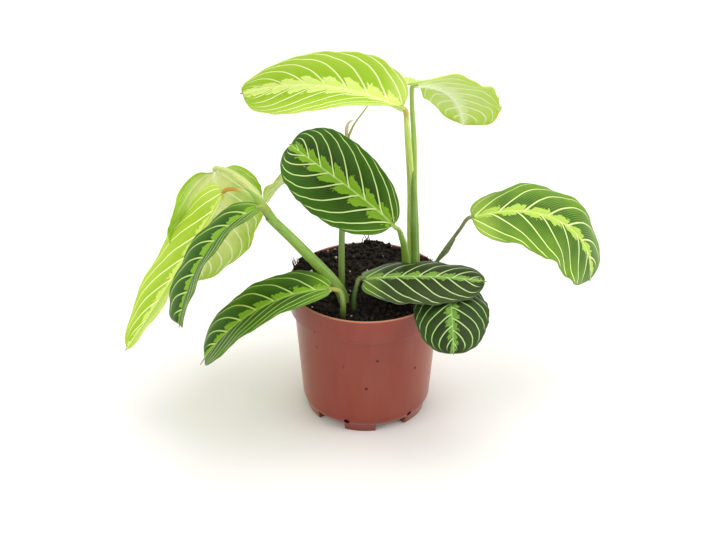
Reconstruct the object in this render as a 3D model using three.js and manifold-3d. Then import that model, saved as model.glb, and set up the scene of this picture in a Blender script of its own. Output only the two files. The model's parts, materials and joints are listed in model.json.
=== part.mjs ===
// Potted prayer plant (maranta) in a plastic nursery pot.
// Millimetres, +Z up. The origin is on the pot's axis, in the plane that its feet stand on.
// -Y is the front of the plant and +X is its right.

import * as THREE from "three";
import { mergeVertices } from "three/addons/utils/BufferGeometryUtils.js";
import Module from "manifold-3d";

const wasm = await Module();
wasm.setup();

// Driving dimensions

// Clearances between separate pieces: around the soil and the stems, and at the base of a blade.
const GAP = 0.3;
const LEAF_GAP = 0.7;

// Pot: a 12 cm nursery pot on six low feet, with a collar that steps out near the top.
const POT = {
  height: 108,
  rimRadius: 60,
  collarBottomRadius: 59,
  collarHeight: 20,
  wall: 1.6,
  shoulderRadius: 54.6,
  lowerRadius: 48.6,
  cornerRadius: 8,
  edge: 0.6,
  footHeight: 5,
  footTop: 7,
  footOuter: 45.5,
  footInner: 39,
  footSpan: 30,
  footCount: 6,
  firstFoot: -96,
  drainRadius: 2.3,
  drainHeight: 9.5,
  drainLength: 16,
  drainOffset: -12,
  sides: 48,
};

// Soil: peat that fills the pot to just under its rim, heaped a little in the middle.
const SOIL = {
  edgeHeight: 96.5,
  middleHeight: 101,
  lumpHeight: 0.9,
  lumpLength: 31,
  crumbLength: 12,
  fadeWidth: 10,
  rings: 8,
  sides: 40,
  stemFoot: 87,
  stemCollar: 98,
};

// Every blade's half width follows t^basePower * (1 - t)^tipPower along its length, scaled so that
// the widest place has the leaf's own half width. neck is the least half width, at the base. The
// rib and the neck get smaller towards the tip by taper. Waves run along both margins and die out
// where the blade is narrower than waveFrom of its widest place.
const BLADE = {
  basePower: 0.42,
  tipPower: 0.6,
  thickness: 0.7,
  ribDepth: 1.2,
  neck: 1.3,
  taper: 0.6,
  rows: 16,
  columns: 8,
  columnCrowding: 1.35,
  waves: 3.2,
  waveHeight: 1.8,
  waveFrom: 0.6,
  leafPhase: 2.4,
  sidePhase: 2.1,
};

// Each leaf grows from base at a compass heading (0 is +X, 90 is +Y) and a rise above level, both
// in degrees. bend turns it sideways and droop turns it down by its tip, late in its length when
// late is over 1. roll and twist turn the blade about its midrib, and fold and curl raise its
// left and right halves.
const LEAVES = {
  leaf_top_left: {
    base: [24.8, 8, 247], heading: 176, bend: -2, rise: 26, droop: 46, late: 1, length: 121,
    half: 33, roll: -24, twist: -57, fold: [36, 43], curl: [18, 25], colour: 0x9cc53a,
  },
  leaf_top_right: {
    base: [36, 32, 255], heading: 36, bend: 46, rise: 1, droop: 60, late: 0.5, length: 104,
    half: 35.5, roll: -25, twist: 50, fold: [2, 10], curl: [-10, 0], colour: 0xa3bf62,
  },
  leaf_centre: {
    base: [18, -30, 170.5], heading: 153, bend: -35, rise: 49, droop: 54, late: 0.6,
    length: 115, half: 33, roll: -55, twist: 16, fold: [19, 23], curl: [3, 20], colour: 0x35601f,
  },
  leaf_right: {
    base: [79, 6, 159.5], heading: 1, bend: -14, rise: 19, droop: 116, late: 1.3, length: 127,
    half: 37, roll: 3, twist: 25, fold: [-2, -3], curl: [-9, -8], colour: 0x5d8c2e,
  },
  leaf_front_centre: {
    base: [-2.3, -28, 126.5], heading: -5, bend: -21, rise: 10, droop: 10, late: 1.3, length: 93,
    half: 28, roll: 0, twist: 12, fold: [-1, -1], curl: [-23, -23], colour: 0x3c6a2a,
  },
  leaf_front_right: {
    base: [61, -18, 115], heading: -87, bend: -4, rise: 14, droop: 43, late: 1, length: 85,
    half: 29, roll: 3, twist: 3, fold: [-2, -3], curl: [-23, -18], colour: 0x3c6a2a,
  },
  leaf_front_left: {
    base: [-27, -48.5, 129.4], heading: 174, bend: 9, rise: 0, droop: 58, late: 0.7,
    length: 120, half: 29, roll: 0, twist: -12, fold: [12, 12], curl: [-11, -10],
    colour: 0x457526,
  },
  leaf_far_left: {
    base: [-106, -2, 183], heading: 183, bend: 14, rise: -60, droop: -4, late: 1.3, length: 143,
    half: 33, roll: 16, twist: 7, fold: [-10, 36], curl: [3, 0], colour: 0xb0cf3f,
  },
  leaf_left_back: {
    base: [-115.7, 41, 179.5], heading: 111, bend: 44, rise: -84, droop: -22, late: 1.4,
    length: 118, half: 39, roll: -2, twist: 36, fold: [-2, -2], curl: [-6, 0], colour: 0xa8c94c,
  },
  leaf_left_front: {
    base: [-77.3, -37, 190], heading: 201, bend: 42, rise: -5, droop: 60, late: 0.55,
    length: 107, half: 26, roll: 8, twist: 28, fold: [18, 17], curl: [-12, -16],
    colour: 0x3f7022,
  },
  leaf_behind: {
    base: [-18, 34, 199.8], heading: 148, bend: 0, rise: -20, droop: 42, late: 1, length: 96,
    half: 23, roll: 0, twist: 0, fold: [8, 8], curl: [0, 0], colour: 0x86a858,
  },
};

// Stems: each is one body made of canes. A cane runs through points, with a radius at each. One
// that rises from the soil starts at its foot, and one that carries a leaf ends at that leaf.
const STEMS = {
  stem_left: {
    colour: 0x6f9a44,
    canes: [
      {
        foot: [-17, -25],
        points: [[-19, -25, 112], [-48, -28, 152], [-70.5, -32, 180]],
        radii: [4.4, 4.3, 4.2, 3.8, 3.4],
      },
      { points: [[-66, -31, 174], [-76, -27.5, 189], [-85.3, -26, 199]], radii: [3.3, 2.8, 0.8] },
      { points: [[-75, -28, 187], [-88, -14, 191.5], [-98.5, -5, 190]], radii: [2, 1.8, 1.7],
        leaf: "leaf_far_left" },
      { points: [[-70, -31, 179], [-80, -14, 187], [-98, 18, 188], [-111, 37, 184.5]],
        radii: [2.4, 2.5, 2.2, 1.8], leaf: "leaf_left_back" },
      { points: [[-66, -31.5, 174], [-71, -35, 185]], radii: [3, 2.2], leaf: "leaf_left_front" },
    ],
  },
  stem_middle: {
    colour: 0x7f9c58,
    canes: [
      {
        foot: [-18.5, -16],
        points: [[-18.5, 0, 149], [-15.5, 19, 181.5], [-15.5, 31, 201], [-13.5, 36, 213]],
        radii: [2.6, 2.5, 2.3, 2, 1.7, 1.1],
      },
      { points: [[-15.6, 25, 191], [-15.5, 30, 200]], radii: [1.7, 1.6], leaf: "leaf_behind" },
      { points: [[-14, 35, 210], [-8, 38, 221], [0, 42, 231], [3, 43.5, 235]],
        radii: [1, 0.9, 0.8, 0.7] },
      { points: [[-14.5, 35, 210], [-13.6, 37, 219], [-11, 38.5, 223.5], [-6.7, 40, 225]],
        radii: [1.3, 1.5, 1.2, 0.6] },
    ],
  },
  stem_right: {
    colour: 0x7ca148,
    canes: [
      {
        foot: [37, 12],
        points: [[35, 14, 144], [34.3, 18, 186]],
        radii: [4.2, 4.1, 3.9, 3.4],
      },
      { points: [[34.8, 16.5, 168], [34.3, 16, 182], [33.6, 15.6, 192]], radii: [3.6, 2.8, 0.8] },
      { points: [[33.5, 16.5, 180], [30, 12, 218], [28.6, 9.6, 236]], radii: [2.3, 2.2, 2.1],
        leaf: "leaf_top_left" },
      { points: [[35, 19, 178], [35, 25, 214], [33, 29.5, 244]], radii: [2, 1.9, 1.8],
        leaf: "leaf_top_right" },
    ],
  },
  stem_centre: {
    colour: 0x7ca148,
    canes: [
      {
        foot: [31, 3],
        points: [[28.5, -3.5, 137], [24.6, -20, 160]],
        radii: [3.1, 3, 2.7, 1.9],
      },
      { points: [[25.8, -14, 152], [23, -25, 165]], radii: [2, 1.5], leaf: "leaf_centre" },
    ],
  },
  stem_far_right: {
    colour: 0x4f7a33,
    canes: [
      {
        foot: [45, 6],
        points: [[53.7, 9, 119], [63.7, 8, 137]],
        radii: [2.9, 2.8, 2.6, 2.2],
      },
      { points: [[60, 8.3, 131], [70, 7, 148]], radii: [2, 1.6], leaf: "leaf_right" },
    ],
  },
  stem_front_centre: {
    colour: 0x4f7a33,
    canes: [
      { foot: [-9, -35], points: [[-10, -34.5, 113], [-8, -32, 122]],
        radii: [2.4, 2.4, 2.3, 2.1], leaf: "leaf_front_centre" },
    ],
  },
  stem_front_right: {
    colour: 0x4f7a33,
    canes: [
      { foot: [45, -6], points: [[50, -4, 111], [57, -4, 119.5], [60.5, -10, 119]],
        radii: [2.2, 2.2, 2, 1.8, 1.8], leaf: "leaf_front_right" },
    ],
  },
  stem_front_left: {
    colour: 0x7f8f3c,
    canes: [
      { foot: [-18, -41], points: [[-17.5, -44, 114], [-19.5, -46.5, 126]],
        radii: [2.6, 2.5, 2.3, 2], leaf: "leaf_front_left" },
    ],
  },
};

// Canes have CANE_SIDES sides and a ring every CANE_STEP or so. Under a leaf the last LEAD of a
// cane swells and then narrows again, as a share of the last radius in its list.
const CANE_SIDES = 8;
const CANE_STEP = 11;
const LEAD = 3;
const LEAD_SWELL = 1.12;
const LEAD_END = 0.95;

const POT_COLOUR = 0x96543f;
const SOIL_COLOUR = 0x2b211b;

// Helpers

const radians = THREE.MathUtils.degToRad;

function vector(list) {
  return new THREE.Vector3(...list);
}

// A geometry's own closed surface, with one vertex at each corner.
function welded(geometry) {
  const bare = geometry.index ? geometry.toNonIndexed() : geometry.clone();
  bare.deleteAttribute("normal");
  bare.deleteAttribute("uv");
  return mergeVertices(bare, 1e-4);
}

function toSolid(geometry) {
  const closed = welded(geometry);
  const solid = new wasm.Mesh({
    numProp: 3,
    vertProperties: new Float32Array(closed.attributes.position.array),
    triVerts: new Uint32Array(closed.index.array),
  });
  return new wasm.Manifold(solid);
}

function toGeometry(solid) {
  const mesh = solid.getMesh();
  const geometry = new THREE.BufferGeometry();
  geometry.setAttribute("position", new THREE.BufferAttribute(mesh.vertProperties, mesh.numProp));
  geometry.setIndex(new THREE.BufferAttribute(mesh.triVerts, 1));
  return geometry;
}

function union(solids) {
  return solids.reduce((whole, next) => whole.add(next));
}

function piece(name, geometry, colour, roughness) {
  const flat = geometry.index ? geometry.toNonIndexed() : geometry;
  flat.computeVertexNormals();
  const material = new THREE.MeshStandardMaterial({ color: colour, roughness, metalness: 0 });
  const mesh = new THREE.Mesh(flat, material);
  mesh.name = name;
  return mesh;
}

// Lathe profiles are lists of [radius, z] that start and end on the axis or close on themselves.
function turned(profile, sides) {
  const points = profile.map(([radius, z]) => new THREE.Vector2(radius, z));
  return new THREE.LatheGeometry(points, sides).rotateX(Math.PI / 2);
}

// Pot

const FLOOR_TOP = POT.footHeight + POT.wall;
const LEDGE = POT.height - POT.collarHeight;
const CORNER_CENTRE = {
  radius: POT.lowerRadius - POT.cornerRadius,
  z: POT.footHeight + POT.cornerRadius,
};

function cornerArc(radius, steps) {
  const arc = [];
  for (let step = 0; step <= steps; step += 1) {
    const angle = (Math.PI / 2) * (step / steps);
    arc.push([
      CORNER_CENTRE.radius + radius * Math.sin(angle),
      CORNER_CENTRE.z - radius * Math.cos(angle),
    ]);
  }
  return arc;
}

// The inside face of the pot moved inwards by clear, from the floor's middle up to the rim.
function insideProfile(clear) {
  const inset = POT.wall + clear;
  return [
    [0, FLOOR_TOP + clear],
    ...cornerArc(POT.cornerRadius - inset, 3),
    [POT.shoulderRadius - inset, LEDGE + inset],
    [POT.collarBottomRadius - inset, LEDGE + inset],
    [POT.rimRadius - inset, POT.height],
  ];
}

function makePot() {
  const outside = [
    [0, POT.footHeight],
    ...cornerArc(POT.cornerRadius, 3),
    [POT.shoulderRadius, LEDGE],
    [POT.collarBottomRadius - POT.edge, LEDGE],
    [POT.collarBottomRadius, LEDGE + POT.edge],
    [POT.rimRadius, POT.height - POT.edge],
    [POT.rimRadius - POT.edge, POT.height],
    [0, POT.height],
  ];
  const mouth = POT.height + 1;
  const inside = [...insideProfile(0), [POT.rimRadius - POT.wall, mouth], [0, mouth]];
  let pot = toSolid(turned(outside, POT.sides));
  for (let foot = 0; foot < POT.footCount; foot += 1) {
    pot = pot.add(toSolid(footGeometry(footAngle(foot))));
  }
  pot = pot.subtract(toSolid(turned(inside, POT.sides)));
  for (let foot = 0; foot < POT.footCount; foot += 1) {
    pot = pot.subtract(toSolid(drainGeometry(footAngle(foot) + POT.drainOffset)));
  }
  return piece("pot", toGeometry(pot), POT_COLOUR, 0.5);
}

function footAngle(foot) {
  return POT.firstFoot + (foot * 360) / POT.footCount;
}

// A foot reaches up past the rounded corner into the floor. What stands inside is cut off later.
function footGeometry(middle) {
  const from = radians(middle - POT.footSpan / 2);
  const to = radians(middle + POT.footSpan / 2);
  const outline = new THREE.Shape();
  outline.absarc(0, 0, POT.footOuter, from, to, false);
  outline.absarc(0, 0, POT.footInner, to, from, true);
  outline.closePath();
  return new THREE.ExtrudeGeometry(outline, {
    depth: POT.footTop,
    bevelEnabled: false,
    curveSegments: 3,
  });
}

function drainGeometry(angle) {
  const hole = new THREE.CylinderGeometry(POT.drainRadius, POT.drainRadius, POT.drainLength, 10);
  hole.rotateZ(Math.PI / 2);
  hole.translate(POT.footOuter, 0, POT.drainHeight);
  return hole.rotateZ(radians(angle));
}

// Canes

// The last stretch of a cane ends square to the base of its leaf, just short of the blade.
function leafEnd(name) {
  const leaf = LEAVES[name];
  const base = vector(leaf.base);
  const along = frameAt(leaf, 0).along;
  return [
    base.clone().addScaledVector(along, -LEAD),
    base.clone().addScaledVector(along, -LEAF_GAP),
  ];
}

function canePoints(cane, extra) {
  const points = cane.points.map(vector);
  if (cane.foot) {
    const [x, y] = cane.foot;
    points.unshift(
      new THREE.Vector3(x, y, SOIL.stemFoot - extra),
      new THREE.Vector3(x, y, SOIL.stemCollar),
    );
  }
  return cane.leaf ? [...points, ...leafEnd(cane.leaf)] : points;
}

function caneRadii(cane) {
  const last = cane.radii.at(-1);
  return cane.leaf ? [...cane.radii, last * LEAD_SWELL, last * LEAD_END] : cane.radii;
}

// A cylinder bent along its cane: its ends stay flat and its radius follows the list. extra makes
// it thicker and its foot deeper, for the hole that it stands in.
function caneGeometry(cane, extra = 0) {
  const radii = caneRadii(cane);
  const curve = new THREE.CatmullRomCurve3(canePoints(cane, extra), false, "centripetal");
  const steps = Math.max(3, Math.round(curve.getLength() / CANE_STEP));
  const frames = curve.computeFrenetFrames(steps, false);
  const geometry = new THREE.CylinderGeometry(1, 1, 1, CANE_SIDES, steps);
  const position = geometry.attributes.position;
  for (let i = 0; i < position.count; i += 1) {
    const share = position.getY(i) + 0.5;
    const step = Math.round(share * steps);
    const time = curve.getUtoTmapping(step / steps);
    const place = curve.getPoint(time);
    const radius = listAt(radii, time) + extra;
    place.addScaledVector(frames.binormals[step], position.getX(i) * radius);
    place.addScaledVector(frames.normals[step], position.getZ(i) * radius);
    position.setXYZ(i, place.x, place.y, place.z);
  }
  return geometry;
}

function listAt(values, share) {
  const spot = share * (values.length - 1);
  const low = Math.min(Math.floor(spot), values.length - 2);
  return THREE.MathUtils.lerp(values[low], values[low + 1], spot - low);
}

function makeStem(name, { canes, colour }) {
  const body = union(canes.map((cane) => toSolid(caneGeometry(cane))));
  return piece(name, toGeometry(body), colour, 0.5);
}

// Blades

function frameAt(leaf, t) {
  const turn = radians(leaf.heading + leaf.bend * t);
  const pitch = radians(leaf.rise - leaf.droop * t ** leaf.late);
  const roll = radians(leaf.roll + leaf.twist * t);
  const flat = Math.cos(pitch);
  const along = new THREE.Vector3(
    Math.cos(turn) * flat,
    Math.sin(turn) * flat,
    Math.sin(pitch),
  );
  const level = new THREE.Vector3(Math.sin(turn), -Math.cos(turn), 0);
  const upright = new THREE.Vector3().crossVectors(level, along);
  const right = level.clone().multiplyScalar(Math.cos(roll));
  right.addScaledVector(upright, -Math.sin(roll));
  const up = upright.clone().multiplyScalar(Math.cos(roll));
  up.addScaledVector(level, Math.sin(roll));
  return { along, right, up };
}

// The midrib's place at t, summed from short straight steps.
function ribAt(leaf, t) {
  const place = vector(leaf.base);
  const steps = 40;
  for (let step = 0; step < steps; step += 1) {
    const middle = ((step + 0.5) / steps) * t;
    place.addScaledVector(frameAt(leaf, middle).along, (leaf.length * t) / steps);
  }
  return place;
}

function halfWidth(leaf, t) {
  const { basePower, tipPower, neck, taper } = BLADE;
  const widest = basePower / (basePower + tipPower);
  const base = (t / widest) ** basePower;
  const tip = ((1 - t) / (1 - widest)) ** tipPower;
  return Math.max(leaf.half * base * tip, neck * (1 - taper * t));
}

// The upper face at t along the midrib and u across: -1 is the left margin, 1 the right one.
function bladePoint(leaf, t, u, phase) {
  const { right, up } = frameAt(leaf, t);
  const side = u < 0 ? 0 : 1;
  const out = Math.abs(u);
  const angle = radians(leaf.fold[side] + (leaf.curl[side] * out) / 2);
  const width = halfWidth(leaf, t);
  const ripple = Math.sin(2 * Math.PI * BLADE.waves * t + phase + side * BLADE.sidePhase);
  const strength = Math.min(1, width / (leaf.half * BLADE.waveFrom));
  const wave = BLADE.waveHeight * ripple * strength * out ** 2;
  const place = ribAt(leaf, t);
  place.addScaledVector(right, Math.sign(u) * out * width * Math.cos(angle));
  place.addScaledVector(up, out * width * Math.sin(angle) + wave);
  return place;
}

// Rows stand closer together towards the base and the tip, where the outline turns fastest.
function rowShare(row) {
  return (1 - Math.cos((Math.PI * row) / BLADE.rows)) / 2;
}

// Columns stand closer together at the midrib, so that its rib stays narrow.
function columnShare(column) {
  const half = BLADE.columns / 2;
  const share = (column - half) / half;
  return Math.sign(share) * Math.abs(share) ** BLADE.columnCrowding;
}

// Both faces are cut into the same triangles, and a raised rib runs under the midrib.
function bladeGeometry(leaf, phase) {
  const { rows, columns, thickness, ribDepth, taper } = BLADE;
  const top = [];
  for (let row = 0; row <= rows; row += 1) {
    for (let column = 0; column <= columns; column += 1) {
      top.push(bladePoint(leaf, rowShare(row), columnShare(column), phase));
    }
  }
  const stride = columns + 1;
  const at = (row, column) => row * stride + column;
  const normals = gridNormals(top, rows, columns, at);
  const bottom = top.map((place, i) => {
    const column = i % stride;
    const row = Math.floor(i / stride);
    const onRib = column === columns / 2 && row > 0 && row < rows;
    const rib = onRib ? ribDepth * (1 - taper * rowShare(row)) : 0;
    return place.clone().addScaledVector(normals[i], -(thickness + rib));
  });
  const under = top.length;
  const index = [];
  const edge = (a, b) => index.push(a, b, b + under, a, b + under, a + under);
  for (let row = 0; row < rows; row += 1) {
    for (let column = 0; column < columns; column += 1) {
      const a = at(row, column);
      const b = at(row, column + 1);
      const c = at(row + 1, column + 1);
      const d = at(row + 1, column);
      index.push(a, b, c, a, c, d);
      index.push(a + under, c + under, b + under, a + under, d + under, c + under);
    }
    edge(at(row, 0), at(row + 1, 0));
    edge(at(row + 1, columns), at(row, columns));
  }
  for (let column = 0; column < columns; column += 1) {
    edge(at(0, column + 1), at(0, column));
    edge(at(rows, column), at(rows, column + 1));
  }
  const corners = [...top, ...bottom].flatMap((place) => place.toArray());
  const geometry = new THREE.BufferGeometry();
  geometry.setAttribute("position", new THREE.Float32BufferAttribute(corners, 3));
  geometry.setIndex(index);
  return geometry;
}

function gridNormals(points, rows, columns, at) {
  const normals = [];
  for (let row = 0; row <= rows; row += 1) {
    for (let column = 0; column <= columns; column += 1) {
      const ahead = points[at(Math.min(row + 1, rows), column)];
      const behind = points[at(Math.max(row - 1, 0), column)];
      const right = points[at(row, Math.min(column + 1, columns))];
      const left = points[at(row, Math.max(column - 1, 0))];
      const across = right.clone().sub(left);
      normals.push(across.cross(ahead.clone().sub(behind)).normalize());
    }
  }
  return normals;
}

// The waves start at another place on every leaf.
function makeLeaf(name, leaf, order) {
  const phase = order * BLADE.leafPhase;
  return piece(name, bladeGeometry(leaf, phase), leaf.colour, 0.45);
}

// Soil

// Smooth lumps with crumbs on them: long waves along X and Y, and short ones on the diagonals.
function lumps(x, y) {
  const long = (2 * Math.PI) / SOIL.lumpLength;
  const short = (2 * Math.PI) / SOIL.crumbLength;
  const coarse = Math.sin(x * long) * Math.cos(y * long);
  const fine = Math.sin((x - y) * short) * Math.cos((x + y) * short);
  return (SOIL.lumpHeight * (coarse + fine)) / 2;
}

function makeSoil() {
  const body = insideProfile(GAP).slice(0, -1);
  const lean = (POT.rimRadius - POT.collarBottomRadius) / POT.collarHeight;
  const inset = POT.wall + GAP;
  const edge = POT.collarBottomRadius - inset + lean * (SOIL.edgeHeight - LEDGE - inset);
  const surface = [];
  for (let ring = 0; ring <= SOIL.rings; ring += 1) {
    const share = 1 - ring / SOIL.rings;
    const dome = (SOIL.middleHeight - SOIL.edgeHeight) * (1 - share ** 2);
    surface.push([edge * share, SOIL.edgeHeight + dome]);
  }
  const geometry = turned([...body, ...surface], SOIL.sides);
  const position = geometry.attributes.position;
  for (let i = 0; i < position.count; i += 1) {
    const radius = Math.hypot(position.getX(i), position.getY(i));
    if (position.getZ(i) > SOIL.edgeHeight) {
      const fade = Math.min(1, (edge - radius) / SOIL.fadeWidth);
      const lift = lumps(position.getX(i), position.getY(i)) * fade;
      position.setZ(i, position.getZ(i) + lift);
    }
  }
  let soil = toSolid(geometry);
  for (const { canes } of Object.values(STEMS)) {
    soil = soil.subtract(toSolid(caneGeometry(canes[0], GAP)));
  }
  return piece("soil", toGeometry(soil), SOIL_COLOUR, 0.95);
}

// The whole plant

const plant = new THREE.Group();
plant.add(makePot());
plant.add(makeSoil());
for (const [name, stem] of Object.entries(STEMS)) {
  plant.add(makeStem(name, stem));
}
Object.entries(LEAVES).forEach(([name, leaf], order) => {
  plant.add(makeLeaf(name, leaf, order));
});

export default plant;
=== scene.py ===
"""Potted prayer plant: fine pieces for its pot, soil, stems and leaves, built around the CAD frame."""

import json
import math
import random

import bmesh
import bpy
import numpy as np
from bpy.props import FloatProperty, FloatVectorProperty, IntProperty, PointerProperty
from mathutils import Matrix, Vector, noise

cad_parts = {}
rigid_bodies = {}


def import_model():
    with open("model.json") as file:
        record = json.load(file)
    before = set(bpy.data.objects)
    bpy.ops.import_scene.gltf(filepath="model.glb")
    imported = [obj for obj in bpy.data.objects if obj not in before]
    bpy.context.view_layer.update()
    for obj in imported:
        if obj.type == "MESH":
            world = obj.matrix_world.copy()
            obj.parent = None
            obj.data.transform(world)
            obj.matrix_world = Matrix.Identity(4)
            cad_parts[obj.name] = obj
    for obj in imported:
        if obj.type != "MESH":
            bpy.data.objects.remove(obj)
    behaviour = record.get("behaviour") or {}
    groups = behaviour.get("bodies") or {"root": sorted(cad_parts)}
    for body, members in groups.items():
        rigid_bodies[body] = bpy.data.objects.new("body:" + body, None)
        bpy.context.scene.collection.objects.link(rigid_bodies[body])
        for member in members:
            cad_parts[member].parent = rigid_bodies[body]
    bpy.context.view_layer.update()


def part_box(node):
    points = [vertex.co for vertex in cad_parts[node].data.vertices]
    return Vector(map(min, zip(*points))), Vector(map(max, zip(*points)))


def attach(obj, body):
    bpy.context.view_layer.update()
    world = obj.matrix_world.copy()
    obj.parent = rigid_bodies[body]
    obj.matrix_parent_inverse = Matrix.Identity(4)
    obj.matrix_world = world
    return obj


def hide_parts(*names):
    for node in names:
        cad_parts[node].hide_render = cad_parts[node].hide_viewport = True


bl_info = {
    "name": "Potted prayer plant",
    "version": (1, 0, 0),
    "blender": (4, 5, 0),
    "location": "3D View > Sidebar > Plant",
    "description": "Builds a prayer plant in its nursery pot, piece by piece, with its studio stage",
    "category": "Add Mesh",
}

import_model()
POT_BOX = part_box("pot")

MM = 0.001
BODY = "root"

# The leaves' own shapes, in mm and degrees. They lie close to the CAD blades and are fitted once
# more. Each leaf grows from base at a compass heading and a rise above level. bend turns it sideways
# and droop turns it down by its tip, late in its length when late is over 1. half is half its width.
# roll and twist turn the blade about its midrib, and fold and curl raise its left and right halves.
# look is its finish, veins the number of side veins on a half, tail the length of the dry point at
# the tip, waved how much of the common wave its margins have, band the reach of the light band from
# the midrib, tip how pointed the blade's end is and blunt its base, lobe how far the base reaches
# back beside the petiole, and lean how far the veins of the left and right halves lean forward.
USUAL = dict(late=1, tail=1.5, lobe=1, blunt=0.33, lean=(0.85, 0.85))
LEAVES = {
    "leaf_top_left": dict(
        USUAL, base=(24.8, 8, 247), heading=182.8, bend=-1, rise=30.1, droop=46.6, length=118, half=31,
        roll=-26.8, twist=-62.1, fold=(37.7, 38.8), curl=(25.6, 19.6), look="lime", veins=7.0,
        waved=0.8, band=8.5, tip=0.37, lobe=0.3, lean=(1.7, 0.85)),
    "leaf_top_right": dict(
        USUAL, base=(36, 32, 255), heading=35.5, bend=44.3, rise=-1.9, droop=55.3, late=0.5, length=96,
        half=33.8, roll=-22.2, twist=31.7, fold=(12.9, 17.2), curl=(-3.6, -8.8), look="pale", veins=6.4,
        waved=1.0, band=7, tip=0.28, lobe=9.5),
    "leaf_centre": dict(
        USUAL, base=(18.5, -30, 172.6), heading=151.4, bend=-31.4, rise=40.4, droop=41.7, late=0.6,
        length=114.4, half=32, roll=-55.6, twist=24.7, fold=(12.8, 20.4), curl=(-5, 16.7), look="dark",
        veins=6.6, waved=0.45, band=8.5, tip=0.545, blunt=0.46, lobe=0.4),
    "leaf_right": dict(
        USUAL, base=(79, 6, 159.5), heading=3.2, bend=2.1, rise=15.9, droop=111.3, late=1.3,
        length=132.5, half=36.7, roll=8.5, twist=28.4, fold=(-2.4, -4.9), curl=(-14, -10.4),
        look="fresh", veins=6.4, tail=2, waved=1.0, band=6, tip=0.28, lobe=0.3),
    "leaf_front_centre": dict(
        USUAL, base=(-2.3, -28, 126.5), heading=-0.6, bend=-7.9, rise=5.8, droop=11.2, late=1.3,
        length=90.2, half=27.4, roll=4.8, twist=4.1, fold=(0, -0.6), curl=(-28, -22.6), look="dusk",
        veins=6.2, tail=1.2, waved=0.5, band=4.3, tip=0.39, lobe=2.2),
    "leaf_front_right": dict(
        USUAL, base=(59.5, -17.5, 116), heading=-86.2, bend=-5.8, rise=14.3, droop=43.9, length=82.5,
        half=28.3, roll=3.1, twist=5.8, fold=(-2.8, -3.6), curl=(-24, -18.7), look="dim", veins=6.0,
        tail=0.8, waved=0.6, band=4.6, tip=0.43),
    "leaf_front_left": dict(
        USUAL, base=(-27, -48.5, 129.4), heading=176.1, bend=3.7, rise=2, droop=60.2, late=0.7,
        length=118.3, half=29.1, roll=-1.1, twist=-10.3, fold=(12.7, 12.7), curl=(-10.1, -13.6),
        look="deep", veins=6.8, tail=7, waved=0.35, band=5.4, tip=0.31, lean=(1.5, 0.85)),
    "leaf_far_left": dict(
        USUAL, base=(-106, -2, 183), heading=184.7, bend=22.7, rise=-60.5, droop=-10.1, late=1.3,
        length=146.4, half=33.9, roll=18.4, twist=10, fold=(-6.7, 36.5), curl=(-0.8, 0.7),
        look="yellow", veins=6.2, waved=0.5, band=4.2, tip=0.55, lean=(2.6, 1.6)),
    "leaf_left_back": dict(
        USUAL, base=(-115.7, 41, 179.5), heading=121, bend=52, rise=-86.5, droop=-23.2, late=1.4,
        length=106, half=43.5, roll=4.5, twist=34.5, fold=(-4, -4), curl=(-8.5, 2), look="glow",
        veins=6.6, waved=1.0, band=7, tip=0.38, lobe=2.2),
    "leaf_left_front": dict(
        USUAL, base=(-77.3, -37, 190), heading=197.6, bend=46.9, rise=-5.9, droop=59, late=0.55,
        length=105.3, half=24.6, roll=3.8, twist=40.6, fold=(16.9, 18.5), curl=(-13.4, -14.1),
        look="deep", veins=6.6, tail=2, waved=0.5, band=5.2, tip=0.16, lobe=0.4, lean=(1.4, 0.5)),
    "leaf_behind": dict(
        USUAL, base=(-18, 34, 199.8), heading=148, bend=0, rise=-20, droop=42, length=96, half=23,
        roll=0, twist=0, fold=(8, 8), curl=(0, 0), look="pale", veins=6.4, waved=0.8, band=5, tip=0.5),
}

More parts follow.
